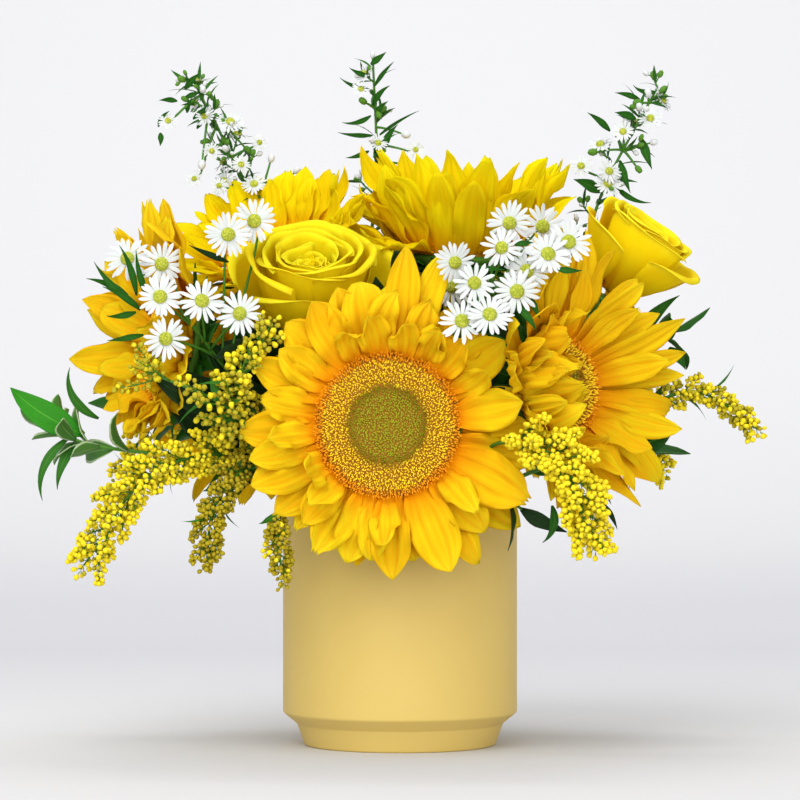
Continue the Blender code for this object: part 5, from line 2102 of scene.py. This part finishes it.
@dataclass
class GreeneryBank:
    """All the greenery, joined by finish."""

    sprays: list[Greenery]

    def build(self) -> None:
        """Builds the stems and leaves."""
        stems = Tissue()
        for finish in {owner.finish: None for owner in (*self.sprays, *LEAFLETS)}:
            chosen = [spray for spray in self.sprays if spray.finish is finish]
            bunch = Bunch(stems)
            for spray in chosen:
                spray.grow(bunch)
            for leaflet in LEAFLETS:
                if leaflet.finish is finish:
                    bunch.leaves.add_blades([leaflet.blade()], leaflet.outline, 12, 6)
            name = f"greenery_{finish.value.name}"
            nodes = [f"greenery_{spray.name}" for spray in chosen]
            bunch.leaves.dress(name, finish, "green_leaf", *nodes, thickness=0.3 * MM)
        nodes = [f"greenery_{spray.name}" for spray in self.sprays]
        stems.dress("greenery_stems", Palette.STEM, "green_leaf", *nodes)


@dataclass(frozen=True)
class Lamp:
    """A square soft light: where it is, its size, its power, and where it points."""

    name: str
    place: Triple
    size: float
    power: float
    aim: Triple = (0, 0, 0.17)

    def build(self) -> None:
        """Builds the light."""
        data = bpy.data.lights.new(self.name, "AREA")
        data.size = self.size
        data.energy = self.power
        lamp = link(self.name, data)
        lamp.location = self.place
        lamp.rotation_euler = (Vector(self.aim) - Vector(self.place)).to_track_quat("-Z", "Y").to_euler()


@dataclass
class Studio:
    """A pale sweep, soft lights, an even sky and the camera."""

    eye: Triple = (0.0, -1800.0, 172.0)
    lens: float = 162.0
    sky: float = 0.56
    # The paper's painted light: its tone near the eye, further back, and up the wall
    near: Colour = (0.635, 0.635, 0.645)
    far: Colour = (0.53, 0.53, 0.555)
    wall: Colour = (0.64, 0.64, 0.65)
    lamps: Sequence[Lamp] = (
        Lamp("key", (-0.7, -1.5, 1.8), 1.7, 34.0),
        Lamp("fill", (0.9, -2.0, 0.5), 1.8, 20.0),
        Lamp("bounce", (-0.2, -1.5, 0.12), 1.0, 8.0, (0, 0, 0.35)),
        Lamp("overhead", (0.1, 0.3, 2.2), 2.0, 9.0),
        Lamp("wall_wash", (0.0, 1.0, 3.0), 2.0, 72.0, (0, 3, 1.9)),
    )

    def build(self) -> None:
        """Builds the studio."""
        self.build_sweep()
        self.build_sky()
        for lamp in self.lamps:
            lamp.build()
        self.build_camera()

    def build_sweep(self) -> None:
        """A floor that curves up into a back wall, with painted light: paler near the eye and up the wall,
        darker between.
        """
        curve = [(2.0 + math.sin(a), 1.0 - math.cos(a)) for a in np.linspace(0, math.pi / 2, 24)]
        line = [(-4.0, 0.0), *curve, (3.0, 4.0)]
        sweep = Tissue()
        sweep.add_grid(np.array([[(x, y, z) for x in (-5.0, 5.0)] for y, z in line]))
        paper = Finish("pale_paper", 0.9, 0.0)
        depth = paper.signal("ShaderNodeSeparateXYZ", {0: paper.body_place()}, 1)
        stops = [(0.29, self.near), (0.42, self.far), (0.56, self.far), (0.9, self.wall)]
        painted_light_tone = paper.ramp((depth + 1.0) / 4.0, stops)
        sweep.build("paper_sweep", paper.done(painted_light_tone, None))

    def build_sky(self) -> None:
        """A white sky of one strength."""
        world = bpy.data.worlds.new("sky")
        world.use_nodes = True
        inputs = world.node_tree.nodes["Background"].inputs
        inputs[0].default_value = (*WHITE, 1.0)
        inputs[1].default_value = self.sky
        bpy.context.scene.world = world

    def build_camera(self) -> None:
        """The camera, level and straight on."""
        data = bpy.data.cameras.new("camera")
        data.lens = self.lens
        data.sensor_width = 36.0
        data.clip_end = 50.0
        camera = link("camera", data)
        camera.location = millimetres(self.eye)
        camera.rotation_euler = (math.pi / 2, 0.0, 0.0)
        bpy.context.scene.camera = camera
        bpy.context.scene.view_settings.view_transform = "Standard"


def main() -> None:
    """Builds everything in order."""
    logging.basicConfig(level=logging.INFO, format="%(name)s: %(message)s")
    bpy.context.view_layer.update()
    sundries = Sundries()
    Studio().build()
    Pot().build()
    for bloom in SUNFLOWERS:
        bloom.build(sundries)
    for rose in ROSES:
        rose.build()
    AsterBank(ASTERS).build(sundries)
    GoldenrodBank(GOLDENRODS).build(sundries)
    GreeneryBank(GREENERIES).build()


if __name__ == "__main__":
    main()
